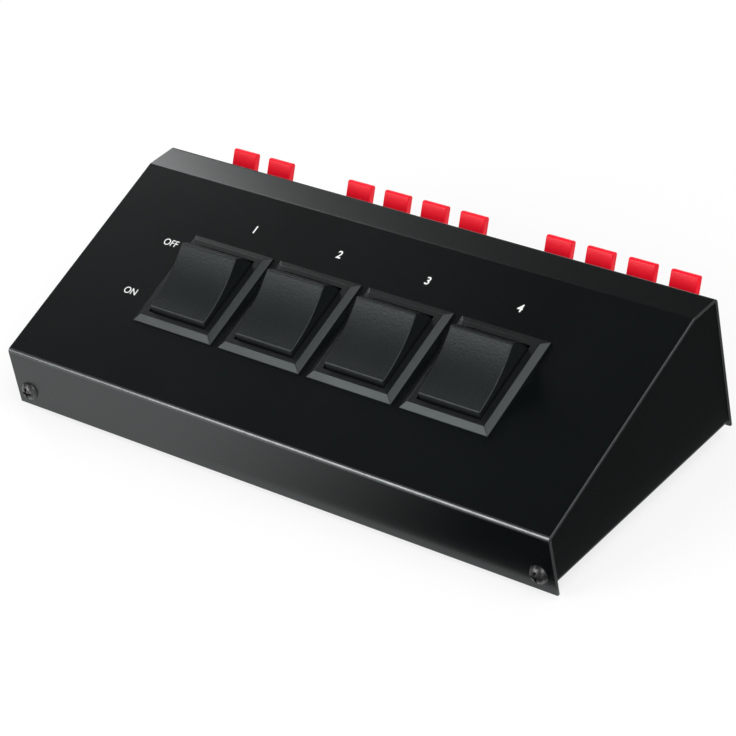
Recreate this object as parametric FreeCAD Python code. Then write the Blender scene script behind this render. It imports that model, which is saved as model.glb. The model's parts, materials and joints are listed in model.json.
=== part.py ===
import FreeCAD, Part
import math
import os

# Speaker selector switch. A sheet steel wedge holds four rocker switches on its slope and
# three blocks of spring terminals on its back. All sizes are in millimetres, with +X to the
# right, +Y to the back and +Z up. Everything is drawn from the front panel's outer face and
# the bottom of the feet, and is moved at the end so that the middle of the footprint is x = y = 0.

Vector = FreeCAD.Vector

# Steel case
case_width = 205.0
case_depth = 83.5
case_height = 45.0
front_height = 19.0
slope_run = 72.2
sheet = 1.0
bend_radius = 1.4
sheet_gap = 0.15
side_inset = 0.3
front_lip = 3.4
rear_lip = 1.1

# Corner tabs of the tray, which take the case screws
screw_tab_height = 11.0
front_tab_width = 12.0
rear_tab_width = 8.0
corner_relief = 9.0

# Case screws
screw_inset_x = 5.5
screw_rise = 2.0
screw_radius = 1.45
screw_length = 7.0
screw_head_radius = 3.1
screw_head_height = 2.0
screw_slot_width = 0.9
screw_slot_length = 3.6
screw_slot_depth = 1.1
screw_clearance = 0.05
cover_hole_clearance = 0.2

# Rubber feet
foot_height = 5.0
foot_radius = 5.5
foot_inset_x = 14.5
foot_inset_y = 13.0
foot_edge = 0.8

# Rocker switches
switch_count = 4
switch_pitch = 34.3
switch_up_slope = 39.7
bezel_width = 31.4
bezel_length = 33.8
bezel_height = 1.65
bezel_base = 0.4
bezel_chamfer = 2.1
housing_depth = 16.5
housing_wall = 1.6
housing_floor = 1.5
cutout_gap = 0.2
latch_reach = 0.9
latch_height = 3.4
latch_length = 10.0

# Rocker paddles
rocker_width = 22.0
rocker_radius = 12.9
rocker_rise = 7.35
rocker_dish = 1.3
rocker_tilt = 13.8
rocker_skirt_angle = 14.0
rocker_wall = 1.6
rocker_ceiling = 4.0
rocker_gap = 0.35
rocker_edge = 0.45
pivot_depth = 1.4
pivot_radius = 1.4
pivot_length = 1.3
pivot_clearance = 0.05
pivot_end_gap = 0.1

# Switch contacts, one pair for each stereo channel
pole_offset = 5.0
boss_radius = 2.6
boss_bore = 1.7
boss_length = 5.5
boss_bore_top = 3.0
plunger_radius = 1.6
plunger_tip_radius = 1.2
plunger_reach = 9.2
plunger_top = 3.0
plunger_shoulder = 6.2
coil_radius = 1.25
coil_wire = 0.5
coil_pitch = 1.0
coil_sides = 10
coil_end_gap = 0.1
blade_depth = 11.5
blade_thickness = 0.6
blade_width = 5.0
blade_half_length = 10.2
blade_tilt = 7.0
contact_offset = 9.0
contact_radius = 1.1
contact_height = 0.4
lug_width = 4.8
lug_thickness = 0.8
lug_reach = 6.0
lug_slot_gap = 0.1
seat_gap = 0.15

# Spring terminals
terminal_pitch = 14.6
lever_width = 9.3
block_levers = [2, 4, 4]
block_first_lever = [-81.95, -34.95, 40.55]
block_rise = 26.4
block_half_height = 14.2
block_front = 7.5
block_inside = 10.0
block_side = 0.6
block_chamfer = 1.5
flange_thickness = 1.8
flange_side = 5.2
flange_half_height = 15.5
flange_corner = 2.0
pocket_gap = 0.3
pocket_floor = 0.5
pocket_roof = 13.1
pocket_back = 8.5
sill_height = 5.0
sill_thickness = 2.0
wire_hole_radius = 1.6
wire_hole_rise = 2.7
wire_hole_flare = 0.5

# Terminal levers
lever_hinge_out = 5.0
lever_hinge_rise = 7.6
lever_lean = 27.5
lever_reach = 11.26
lever_thickness = 2.2
lever_tip_round = 0.8
lever_hub_radius = 2.2
lever_pin_radius = 0.9
lever_pin_length = 1.25
lever_pin_clearance = 0.05
lever_socket_extra = 0.15
lever_arm_reach = 9.0
lever_arm_thickness = 1.8
lever_arm_width = 4.0
lever_foot_length = 1.6
lever_foot_drop = 2.3
lever_foot_width = 3.0

# Terminal metalwork
strip_thickness = 0.5
strip_width = 3.0
strip_front = 4.0
strip_back = 7.0
strip_tag_rise = 5.6
strip_tag_reach = 13.0
strip_gap = 0.05
leaf_thickness = 0.35
leaf_width = 3.4
leaf_front = 1.0
leaf_back = 7.7

# Block rivets
rivet_radius = 1.4
rivet_head_radius = 2.2
rivet_head_height = 1.0
rivet_from_body = 2.6

# Hook-up wires
wire_radius = 0.55
wire_bend = 2.0
wire_bend_share = 0.45
wire_solder_gap = 0.1
wire_low_run = 8.0
wire_high_run = 10.2
wire_plane_from_tags = 2.45
wire_first_lane = 17.0
wire_lane_step = 1.5
wire_drop = 2.9
wire_side_step = 1.2
feed_drop_from_tags = 4.8
feed_drop_step = 2.4
feed_side_offset = 3.6
return_plane_offset = 0.6
return_plane_step = 1.35
return_first_drop = 3.6
return_drop_step = 2.4
return_end_offset = 0.84

# How far a cut runs past the face it opens, and what counts as touching
cut_past = 1.0
touch = 0.01

# Places that follow from the sizes above
fold_z = foot_height - front_lip + front_height
front_edge_z = foot_height - front_lip
rear_edge_z = foot_height - rear_lip
ridge_z = front_edge_z + case_height
slope_angle = math.degrees(math.atan2(ridge_z - fold_z, slope_run))
side_face_x = case_width / 2 - side_inset
well_half_width = rocker_width / 2 + rocker_gap
well_half_length = rocker_radius + rocker_gap
housing_half_width = well_half_width + housing_wall
housing_half_length = well_half_length + housing_wall
well_floor = housing_floor - housing_depth
pocket_half_width = lever_width / 2 + pocket_gap
lug_tip = -housing_depth - lug_reach


def block(x, y, z):
    """A box between two limits on each axis."""
    size = [abs(limits[1] - limits[0]) for limits in (x, y, z)]
    return Part.makeBox(size[0], size[1], size[2], Vector(min(x), min(y), min(z)))


def rod(radius, start, end):
    """A round bar from one point to another."""
    axis = Vector(*end) - Vector(*start)
    return Part.makeCylinder(radius, axis.Length, Vector(*start), axis)


def prism(outline, half_width, middle_x=0.0):
    """A side outline of (y, z) points, spread equally to both sides of middle_x."""
    points = [Vector(middle_x - half_width, y, z) for y, z in outline]
    face = Part.Face(Part.makePolygon(points + points[:1]))
    return face.extrude(Vector(2 * half_width, 0, 0))


def fuse(shapes):
    """One solid from several that touch."""
    return shapes[0].multiFuse(shapes[1:]).removeSplitter()


def offset_path(points, distance):
    """The same path moved sideways, to its right for a positive distance."""
    normals = []
    for a, b in zip(points, points[1:]):
        length = math.hypot(b[0] - a[0], b[1] - a[1])
        normals.append(((b[1] - a[1]) / length, (a[0] - b[0]) / length))
    moved = []
    for i, (y, z) in enumerate(points):
        before = normals[max(i - 1, 0)]
        after = normals[min(i, len(normals) - 1)]
        share = distance / (1 + before[0] * after[0] + before[1] * after[1])
        moved.append((y + share * (before[0] + after[0]), z + share * (before[1] + after[1])))
    return moved


def bent_edges(points, radius):
    """Straight edges along 3D points, joined by tangent arcs of one radius or less."""
    runs = [(b - a).Length for a, b in zip(points, points[1:])]
    edges = []
    here = points[0]
    for i in range(1, len(points) - 1):
        back = (points[i - 1] - points[i]).normalize()
        ahead = (points[i + 1] - points[i]).normalize()
        half_turn = (math.pi - back.getAngle(ahead)) / 2
        reach = min(radius * math.tan(half_turn), wire_bend_share * min(runs[i - 1], runs[i]))
        bend = reach / math.tan(half_turn)
        start = points[i] + back * reach
        end = points[i] + ahead * reach
        to_middle = (back + ahead).normalize()
        middle = points[i] + to_middle * (bend / math.cos(half_turn) - bend)
        edges.append(Part.LineSegment(here, start).toShape())
        edges.append(Part.Arc(start, middle, end).toShape())
        here = end
    edges.append(Part.LineSegment(here, points[-1]).toShape())
    return edges


def tube(points, radius, bend):
    """A round wire along straight runs and tangent arcs."""
    path = Part.Wire(bent_edges([Vector(*p) for p in points], bend))
    direction = Vector(*points[1]) - Vector(*points[0])
    ring = Part.Wire([Part.makeCircle(radius, Vector(*points[0]), direction)])
    return path.makePipeShell([ring], True, False)


def strip(points, thickness, half_width, middle_x=0.0):
    """A flat metal strip whose middle line is a (y, z) path."""
    one_side = offset_path(points, thickness / 2)
    other_side = offset_path(points, -thickness / 2)
    return prism(one_side + other_side[::-1], half_width, middle_x)


def case_path(inset=0.0):
    """The cover's outer line from its front edge, over the slope and ridge, to its rear edge."""
    front = [(0, front_edge_z), (0, fold_z), (slope_run, ridge_z)]
    rear = [(case_depth, ridge_z), (case_depth, rear_edge_z)]
    return offset_path(front + rear, inset)


def on_slope(shape, x):
    """Moves a piece drawn around a switch's centre to that switch, in the slope's plane."""
    angle = math.radians(slope_angle)
    base = Vector(x, switch_up_slope * math.cos(angle), fold_z + switch_up_slope * math.sin(angle))
    moved = shape.copy()
    moved.Placement = FreeCAD.Placement(base, FreeCAD.Rotation(Vector(1, 0, 0), slope_angle))
    return moved


def slope_point(x, along, out):
    """A place given from the centre of the row of switches, as a point of the whole case."""
    angle = math.radians(slope_angle)
    up = switch_up_slope + along
    y = up * math.cos(angle) - out * math.sin(angle)
    z = fold_z + up * math.sin(angle) + out * math.cos(angle)
    return (x, y, z)


def switch_places():
    """The middle of each switch along the case, from left to right."""
    return [(i - (switch_count - 1) / 2) * switch_pitch for i in range(switch_count)]


def lever_places(index):
    """The middle of each lever in one terminal block."""
    return [block_first_lever[index] + i * terminal_pitch for i in range(block_levers[index])]


def block_middle(index):
    """The middle of one terminal block."""
    places = lever_places(index)
    return (places[0] + places[-1]) / 2


def body_half_width(index):
    """Half the width of one block's raised body."""
    return block_levers[index] * terminal_pitch / 2 + block_side


def on_back(shape, x):
    """Moves a piece drawn around a block's centre to the rear panel."""
    moved = shape.copy()
    moved.translate(Vector(x, case_depth, block_rise))
    return moved


def both_rows(shape):
    """The upper piece and its mirror image in the lower row."""
    return [shape, shape.mirror(Vector(0, 0, 0), Vector(0, 0, 1))]


def case_screw_places():
    """Centre of each case screw: x, panel face y and the way its head points."""
    x = case_width / 2 - screw_inset_x
    return [(side * x, y, way) for y, way in ((0, -1), (case_depth, 1)) for side in (-1, 1)]


def make_cover():
    """The bent steel cover: front panel, slope, ridge and rear panel in one sheet."""
    outer = [Vector(-case_width / 2, y, z) for y, z in case_path()]
    inner = [Vector(-case_width / 2, y, z) for y, z in case_path(sheet)]
    outer_edges = bent_edges(outer, bend_radius)
    inner_edges = bent_edges(inner[::-1], bend_radius - sheet)
    rear_edge = Part.LineSegment(outer[-1], inner[-1]).toShape()
    front_edge = Part.LineSegment(inner[0], outer[0]).toShape()
    profile = Part.Wire(outer_edges + [rear_edge] + inner_edges + [front_edge])
    cover = Part.Face(profile).extrude(Vector(case_width, 0, 0))
    cuts = []
    for x in switch_places():
        half_width = housing_half_width + cutout_gap
        half_length = housing_half_length + cutout_gap
        hole = block((-half_width, half_width), (-half_length, half_length), (-sheet - cut_past, cut_past))
        cuts.append(on_slope(hole, x))
    for index in range(len(block_levers)):
        half_width = body_half_width(index) + cutout_gap
        half_height = block_half_height + cutout_gap
        hole = block((-half_width, half_width), (-sheet - cut_past, cut_past), (-half_height, half_height))
        cuts.append(on_back(hole, block_middle(index)))
        for x in rivet_places(index):
            rivet_hole = rod(rivet_radius + screw_clearance, (x, -sheet - cut_past, 0), (x, cut_past, 0))
            cuts.append(on_back(rivet_hole, 0))
    for x, y, way in case_screw_places():
        hole_z = foot_height + screw_rise
        reach = sheet + cut_past
        cuts.append(rod(screw_radius + cover_hole_clearance, (x, y - reach, hole_z), (x, y + reach, hole_z)))
    return cover.cut(Part.makeCompound(cuts))


def make_tray():
    """The tray: floor, both side walls and the corner tabs for the case screws."""
    inset = sheet + sheet_gap
    outline = case_path(inset)
    outline[0] = (outline[0][0], foot_height)
    outline[-1] = (outline[-1][0], foot_height)
    wedge = prism(outline, side_face_x)
    outer = block((-side_face_x, side_face_x), (0, case_depth), (foot_height, ridge_z))
    bottom_edges = [e for e in outer.Edges if is_bottom_side_edge(e)]
    outer = outer.makeFillet(bend_radius, bottom_edges)
    inner_x = side_face_x - sheet
    inner_y = (-cut_past, case_depth + cut_past)
    inner = block((-inner_x, inner_x), inner_y, (foot_height + sheet, ridge_z + cut_past))
    shell = wedge.common(outer).cut(inner)
    tabs = []
    for side in (-1, 1):
        for wall_y, width, way in ((inset, front_tab_width, 1), (case_depth - inset, rear_tab_width, -1)):
            x_limits = (side * inner_x, side * (inner_x - width))
            y_limits = (wall_y, wall_y + way * sheet)
            tabs.append(block(x_limits, y_limits, (foot_height, foot_height + screw_tab_height)))
    reliefs = []
    for side in (-1, 1):
        for wall_y, way in ((inset, 1), (case_depth - inset, -1)):
            x_limits = (side * inner_x, side * (inner_x - corner_relief))
            y_limits = (wall_y, wall_y + way * corner_relief)
            z_limits = (foot_height - cut_past, foot_height + sheet + cut_past)
            reliefs.append(block(x_limits, y_limits, z_limits))
    holes = []
    for x, y, way in case_screw_places():
        z = foot_height + screw_rise
        end_y = y - way * (inset + sheet + cut_past)
        holes.append(rod(screw_radius + screw_clearance, (x, y - way * sheet, z), (x, end_y, z)))
    tray = shell.cut(Part.makeCompound(reliefs)).multiFuse(tabs)
    return tray.cut(Part.makeCompound(holes)).removeSplitter()


def is_bottom_side_edge(edge):
    """True for the two long lower edges where the floor turns up into the side walls."""
    low = abs(edge.BoundBox.ZMax - foot_height) < touch
    return low and edge.BoundBox.XLength < touch and edge.BoundBox.YLength > case_depth / 2


def make_feet():
    """Four round rubber feet under the floor."""
    foot = Part.makeCylinder(foot_radius, foot_height)
    rim = [e for e in foot.Edges if e.BoundBox.ZMax < touch]
    foot = foot.makeChamfer(foot_edge, rim)
    feet = []
    for x in (-1, 1):
        for y in (foot_inset_y, case_depth - foot_inset_y):
            copy = foot.copy()
            copy.translate(Vector(x * (case_width / 2 - foot_inset_x), y, 0))
            feet.append(copy)
    return Part.makeCompound(feet)


def make_case_screws():
    """Four pan head screws with a cross slot, two in the front panel and two in the rear."""
    dome_radius = (screw_head_radius ** 2 + screw_head_height ** 2) / (2 * screw_head_height)
    dome = Part.makeSphere(dome_radius, Vector(0, 0, screw_head_height - dome_radius))
    head = dome.common(Part.makeCylinder(screw_head_radius, screw_head_height))
    screw = fuse([head, Part.makeCylinder(screw_radius, screw_length, Vector(0, 0, -screw_length))])
    half = screw_slot_length / 2
    thin = screw_slot_width / 2
    depth = (screw_head_height - screw_slot_depth, screw_head_height + cut_past)
    screw = screw.cut(block((-half, half), (-thin, thin), depth))
    screw = screw.cut(block((-thin, thin), (-half, half), depth))
    screws = []
    for x, y, way in case_screw_places():
        copy = screw.copy()
        turn = FreeCAD.Rotation(Vector(1, 0, 0), -90 * way)
        copy.Placement = FreeCAD.Placement(Vector(x, y, foot_height + screw_rise), turn)
        screws.append(copy)
    return Part.makeCompound(screws)


def lug_slots(along):
    """Slots in a switch's floor for the two lugs at one place along the switch."""
    half_width = lug_width / 2 + lug_slot_gap
    half_thickness = lug_thickness / 2 + lug_slot_gap
    slots = []
    for x in (-pole_offset, pole_offset):
        y_limits = (along - half_thickness, along + half_thickness)
        z_limits = (-housing_depth - cut_past, well_floor + cut_past)
        slots.append(block((x - half_width, x + half_width), y_limits, z_limits))
    return slots


def make_housing():
    """A switch housing with its sloped bezel, latches, pivot sockets and contact slots."""
    half_width = bezel_width / 2
    half_length = bezel_length / 2
    base = block((-half_width, half_width), (-half_length, half_length), (0, bezel_base))
    rims = []
    for shrink, z in ((0, bezel_base), (bezel_chamfer, bezel_height)):
        x = half_width - shrink
        y = half_length - shrink
        corners = [Vector(-x, -y, z), Vector(x, -y, z), Vector(x, y, z), Vector(-x, y, z)]
        rims.append(Part.makePolygon(corners + corners[:1]))
    bezel = Part.makeLoft(rims, True, True)
    body_x = (-housing_half_width, housing_half_width)
    body_y = (-housing_half_length, housing_half_length)
    body = block(body_x, body_y, (-housing_depth, bezel_base))
    latch_top = -sheet - sheet_gap
    latches = []
    for side in (-1, 1):
        wall = side * (housing_half_width - housing_wall / 2)
        face = side * housing_half_width
        tip = side * (housing_half_width + latch_reach)
        latch_foot = latch_top - latch_height
        corners = [(wall, latch_top), (tip, latch_top), (face, latch_foot), (wall, latch_foot)]
        points = [Vector(x, -latch_length / 2, z) for x, z in corners]
        wedge = Part.Face(Part.makePolygon(points + points[:1]))
        latches.append(wedge.extrude(Vector(0, latch_length, 0)))
    housing = fuse([base, bezel, body] + latches)
    well_x = (-well_half_width, well_half_width)
    well_y = (-well_half_length, well_half_length)
    housing = housing.cut(block(well_x, well_y, (well_floor, bezel_height + cut_past)))
    socket_reach = rocker_width / 2 + pivot_length + pivot_end_gap
    socket_radius = pivot_radius + pivot_clearance
    socket = rod(socket_radius, (-socket_reach, 0, -pivot_depth), (socket_reach, 0, -pivot_depth))
    housing = housing.cut(socket)
    housing = housing.cut(Part.makeCompound(lug_slots(0) + lug_slots(contact_offset)))
    swing = blade_half_length * math.sin(math.radians(blade_tilt))
    rib_top = -blade_depth - swing - seat_gap
    rib_y = (-contact_offset - lug_thickness, -contact_offset + lug_thickness)
    rib_x = (-pole_offset - lug_width / 2, pole_offset + lug_width / 2)
    rib = block(rib_x, rib_y, (well_floor - housing_floor / 2, rib_top))
    return fuse([housing, rib])


def make_rocker():
    """A dished rocker paddle with its pivot stubs and two plunger bosses, level at mid travel."""
    half_chord = math.sqrt(rocker_radius ** 2 - rocker_rise ** 2)
    low = math.radians(rocker_skirt_angle)
    top_angle = math.atan2(rocker_rise, half_chord)
    side_angle = (top_angle - low) / 2
    x = -rocker_width / 2
    near_top = Vector(x, -half_chord, rocker_rise)
    far_top = Vector(x, half_chord, rocker_rise)
    dish = Vector(x, 0, rocker_rise - rocker_dish)
    far_side = Vector(x, rocker_radius * math.cos(side_angle), rocker_radius * math.sin(side_angle))
    near_side = Vector(x, -far_side.y, far_side.z)
    far_low = Vector(x, rocker_radius * math.cos(low), -rocker_radius * math.sin(low))
    near_low = Vector(x, -far_low.y, far_low.z)
    outline = [
        Part.Arc(near_top, dish, far_top).toShape(),
        Part.Arc(far_top, far_side, far_low).toShape(),
        Part.LineSegment(far_low, near_low).toShape(),
        Part.Arc(near_low, near_side, near_top).toShape(),
    ]
    paddle = Part.Face(Part.Wire(outline)).extrude(Vector(rocker_width, 0, 0))
    top_edges = [e for e in paddle.Edges if e.BoundBox.ZMin > rocker_rise - rocker_dish - touch]
    paddle = paddle.makeFillet(rocker_edge, top_edges)
    inner_x = rocker_width / 2 - rocker_wall
    drum = rod(rocker_radius - rocker_wall, (-inner_x, 0, 0), (inner_x, 0, 0))
    below = block((-inner_x, inner_x), (-rocker_radius, rocker_radius), (-rocker_radius, rocker_ceiling))
    paddle = paddle.cut(drum.common(below))
    reach = rocker_width / 2 + pivot_length
    stubs = [rod(pivot_radius, (side * inner_x, 0, 0), (side * reach, 0, 0)) for side in (-1, 1)]
    bosses = []
    bores = []
    for x in (-pole_offset, pole_offset):
        bosses.append(rod(boss_radius, (x, 0, -boss_length), (x, 0, rocker_ceiling)))
        bores.append(rod(boss_bore, (x, 0, -boss_length - cut_past), (x, 0, boss_bore_top)))
    return fuse([paddle] + stubs + bosses).cut(Part.makeCompound(bores))


def make_plungers():
    """The two sprung pins that push the contact blades over, as they sit in the rocker."""
    pins = []
    tip_middle = plunger_tip_radius - plunger_reach
    for x in (-pole_offset, pole_offset):
        shank = rod(plunger_radius, (x, 0, -plunger_shoulder), (x, 0, -plunger_top))
        neck = rod(plunger_tip_radius, (x, 0, tip_middle), (x, 0, -plunger_shoulder))
        tip = Part.makeSphere(plunger_tip_radius, Vector(x, 0, tip_middle))
        pins.append(fuse([shank, neck, tip]))
    return Part.makeCompound(pins)


def make_plunger_springs():
    """The two coil springs above the plungers."""
    low = coil_wire / 2 + coil_end_gap - plunger_top
    room = boss_bore_top - coil_wire / 2 - coil_end_gap - low
    corners = int(room / coil_pitch) * coil_sides
    springs = []
    for x in (-pole_offset, pole_offset):
        points = []
        for i in range(corners + 1):
            angle = 2 * math.pi * i / coil_sides
            side = coil_radius * math.sin(angle)
            points.append((x + coil_radius * math.cos(angle), side, low + room * i / corners))
        springs.append(tube(points, coil_wire / 2, coil_radius))
    return Part.makeCompound(springs)


def make_blades():
    """The two see-saw contact blades of a switch, level, about their own pivot."""
    blades = []
    for x in (-pole_offset, pole_offset):
        half = blade_width / 2
        plate = block((x - half, x + half), (-blade_half_length, blade_half_length), (0, blade_thickness))
        ends = (-contact_height, blade_thickness / 2)
        contact = rod(contact_radius, (x, contact_offset, ends[0]), (x, contact_offset, ends[1]))
        blades.append(fuse([plate, contact]))
    return Part.makeCompound(blades)


def make_lugs(along, top):
    """The two solder lugs of a switch at one place along it."""
    lugs = []
    for x in (-pole_offset, pole_offset):
        x_limits = (x - lug_width / 2, x + lug_width / 2)
        y_limits = (along - lug_thickness / 2, along + lug_thickness / 2)
        lugs.append(block(x_limits, y_limits, (lug_tip, top)))
    return lugs


def make_common_lugs():
    """The middle lugs of every switch, which carry the blades."""
    lugs = []
    for x in switch_places():
        lugs += [on_slope(lug, x) for lug in make_lugs(0, -blade_depth - seat_gap)]
    return Part.makeCompound(lugs)


def make_switched_lugs():
    """The outgoing lugs of every switch, each with a raised contact."""
    down = math.radians(blade_tilt)
    reach = contact_offset + contact_radius
    contact_top = -blade_depth - reach * math.sin(down) - contact_height * math.cos(down) - seat_gap
    plate_top = contact_top - contact_height
    lugs = []
    for x in switch_places():
        for pole, lug in zip((-pole_offset, pole_offset), make_lugs(contact_offset, plate_top)):
            start = (pole, contact_offset, plate_top - contact_height)
            button = rod(contact_radius, start, (pole, contact_offset, contact_top))
            lugs.append(on_slope(fuse([lug, button]), x))
    return Part.makeCompound(lugs)


def set_rocker(shape, x):
    """Puts a rocker, or what rides in it, into its switch with the near end pressed."""
    turned = shape.copy()
    turned.rotate(Vector(0, 0, 0), Vector(1, 0, 0), rocker_tilt)
    turned.translate(Vector(0, 0, -pivot_depth))
    return on_slope(Part.makeCompound([turned]), x)


def set_blades(shape, x):
    """Puts a switch's blades on their lugs, tipped onto the far contacts."""
    turned = shape.copy()
    turned.rotate(Vector(0, 0, 0), Vector(1, 0, 0), -blade_tilt)
    turned.translate(Vector(0, 0, -blade_depth))
    return on_slope(Part.makeCompound([turned]), x)


def rivet_places(index):
    """The two rivets of one block, left and right of its body."""
    reach = body_half_width(index) + rivet_from_body
    return [block_middle(index) - reach, block_middle(index) + reach]


def make_block(index):
    """One terminal block: flange, raised body, lever pockets and wire holes."""
    half_width = body_half_width(index)
    chamfer_rise = block_half_height - block_chamfer
    outline = [
        (-block_inside, -block_half_height),
        (block_front - block_chamfer, -block_half_height),
        (block_front, -chamfer_rise),
        (block_front, chamfer_rise),
        (block_front - block_chamfer, block_half_height),
        (-block_inside, block_half_height),
    ]
    body = prism(outline, half_width)
    flange_half = half_width + flange_side
    flange_z = (-flange_half_height, flange_half_height)
    flange = block((-flange_half, flange_half), (0, flange_thickness), flange_z)
    corners = [e for e in flange.Edges if e.BoundBox.XLength + e.BoundBox.ZLength < touch]
    solid = fuse([body, flange.makeFillet(flange_corner, corners)])
    cuts = []
    for place in lever_places(index):
        for cut in both_rows(Part.makeCompound(pocket_cuts())):
            moved = cut.copy()
            moved.translate(Vector(place - block_middle(index), 0, 0))
            cuts.append(moved)
    for x in rivet_places(index):
        centre = x - block_middle(index)
        ends = (-cut_past, flange_thickness + cut_past)
        cuts.append(rod(rivet_radius + screw_clearance, (centre, ends[0], 0), (centre, ends[1], 0)))
    return on_back(solid.cut(Part.makeCompound(cuts)), block_middle(index))


def pocket_cuts():
    """What one upper lever's cell takes out of the block, with the lever at x = 0."""
    inner_front = block_front - sill_thickness
    outline = [
        (-pocket_back, pocket_floor),
        (inner_front, pocket_floor),
        (inner_front, sill_height),
        (block_front + cut_past, sill_height),
        (block_front + cut_past, pocket_roof),
        (-pocket_back, pocket_roof),
    ]
    pocket = prism(outline, pocket_half_width)
    reach = pocket_half_width + lever_pin_length - pocket_gap + lever_socket_extra
    hinge_z = lever_hinge_rise
    socket_radius = lever_pin_radius + lever_pin_clearance
    sockets = rod(socket_radius, (-reach, lever_hinge_out, hinge_z), (reach, lever_hinge_out, hinge_z))
    hole_ends = (inner_front - cut_past, block_front + cut_past)
    hole = rod(wire_hole_radius, (0, hole_ends[0], wire_hole_rise), (0, hole_ends[1], wire_hole_rise))
    flare_base = Vector(0, block_front - wire_hole_flare, wire_hole_rise)
    flare_radius = wire_hole_radius + wire_hole_flare
    flare = Part.makeCone(wire_hole_radius, flare_radius, wire_hole_flare, flare_base, Vector(0, 1, 0))
    slot_half = strip_width / 2 + strip_gap
    slot_z = (strip_tag_rise - strip_gap, strip_tag_rise + strip_thickness + strip_gap)
    slot = block((-slot_half, slot_half), (-block_inside - cut_past, -pocket_back + cut_past), slot_z)
    return [pocket, sockets, hole, flare, slot]


def make_lever():
    """An upper terminal lever at rest: finger tab, hub, hinge pins, arm and clamping foot."""
    lean = math.radians(lever_lean)
    up = Vector(0, math.sin(lean), math.cos(lean))
    out = Vector(0, math.cos(lean), -math.sin(lean))
    hinge = Vector(0, lever_hinge_out, lever_hinge_rise)
    half = lever_width / 2
    left = Vector(-half, 0, 0)
    tip = hinge + up * lever_reach
    outer_tip = tip + out * lever_thickness
    corners = [hinge, tip, outer_tip, hinge + out * lever_thickness]
    points = [corner + left for corner in corners]
    tab = Part.Face(Part.makePolygon(points + points[:1])).extrude(Vector(lever_width, 0, 0))
    tip_edges = [e for e in tab.Edges if e.BoundBox.XLength > half and e.BoundBox.ZMin > outer_tip.z - touch]
    tab = tab.makeFillet(lever_tip_round, tip_edges)
    hub = rod(lever_hub_radius, (-half, hinge.y, hinge.z), (half, hinge.y, hinge.z))
    reach = half + lever_pin_length
    pins = rod(lever_pin_radius, (-reach, hinge.y, hinge.z), (reach, hinge.y, hinge.z))
    arm_half = lever_arm_width / 2
    arm_top = hinge.z + lever_arm_thickness / 2
    arm_z = (arm_top - lever_arm_thickness, arm_top)
    arm = block((-arm_half, arm_half), (hinge.y - lever_arm_reach, hinge.y), arm_z)
    foot_half = lever_foot_width / 2
    foot_y = (hinge.y - lever_arm_reach, hinge.y - lever_arm_reach + lever_foot_length)
    foot = block((-foot_half, foot_half), foot_y, (arm_z[0] - lever_foot_drop, arm_top))
    return fuse([tab, hub, pins, arm, foot])


def make_strips(index):
    """The brass strips under one block's levers, with their solder tags inside the case."""
    low = pocket_floor + strip_gap + strip_thickness / 2
    tag = strip_tag_rise + strip_thickness / 2
    back = strip_thickness / 2 - strip_back
    path = [(strip_front, low), (back, low), (back, tag), (-strip_tag_reach, tag)]
    strips = []
    for place in lever_places(index):
        for shape in both_rows(strip(path, strip_thickness, strip_width / 2)):
            strips.append(on_back(shape, place))
    return Part.makeCompound(strips)


def make_leaf_springs(index):
    """The folded leaf springs above one block's lever arms."""
    roof = pocket_roof - leaf_thickness
    arm_top = lever_hinge_rise + lever_arm_thickness / 2
    end_y = lever_hinge_out - lever_arm_reach + lever_foot_length / 2
    fold = roof - 2 * leaf_thickness
    path = [
        (leaf_front, roof),
        (-leaf_back + 2 * leaf_thickness, roof),
        (-leaf_back, fold),
        (-leaf_back + 2 * leaf_thickness, fold - 2 * leaf_thickness),
        (end_y, arm_top + leaf_thickness),
    ]
    springs = []
    for place in lever_places(index):
        for shape in both_rows(strip(path, leaf_thickness, leaf_width / 2)):
            springs.append(on_back(shape, place))
    return Part.makeCompound(springs)


def make_rivets():
    """Two rivets for each block, with a domed head outside and a formed tail inside."""
    dome_radius = (rivet_head_radius ** 2 + rivet_head_height ** 2) / (2 * rivet_head_height)
    dome = Part.makeSphere(dome_radius, Vector(0, 0, rivet_head_height - dome_radius))
    head = dome.common(Part.makeCylinder(rivet_head_radius, rivet_head_height))
    grip = flange_thickness + sheet
    tail = Part.makeCylinder(rivet_head_radius, rivet_head_height, Vector(0, 0, -grip - rivet_head_height))
    shank = Part.makeCylinder(rivet_radius, grip, Vector(0, 0, -grip))
    rivet = fuse([head, shank, tail])
    rivets = []
    for index in range(len(block_levers)):
        for x in rivet_places(index):
            copy = rivet.copy()
            turn = FreeCAD.Rotation(Vector(1, 0, 0), -90)
            copy.Placement = FreeCAD.Placement(Vector(x, case_depth + flange_thickness, block_rise), turn)
            rivets.append(copy)
    return Part.makeCompound(rivets)


def output_columns():
    """The lever places of the two output blocks, in order."""
    return [place for index in (1, 2) for place in lever_places(index)]


def tag_end():
    """Where the upper solder tags end: y and the height of their middle."""
    rise = strip_tag_rise + strip_thickness / 2
    return case_depth - strip_tag_reach, block_rise + rise


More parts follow.
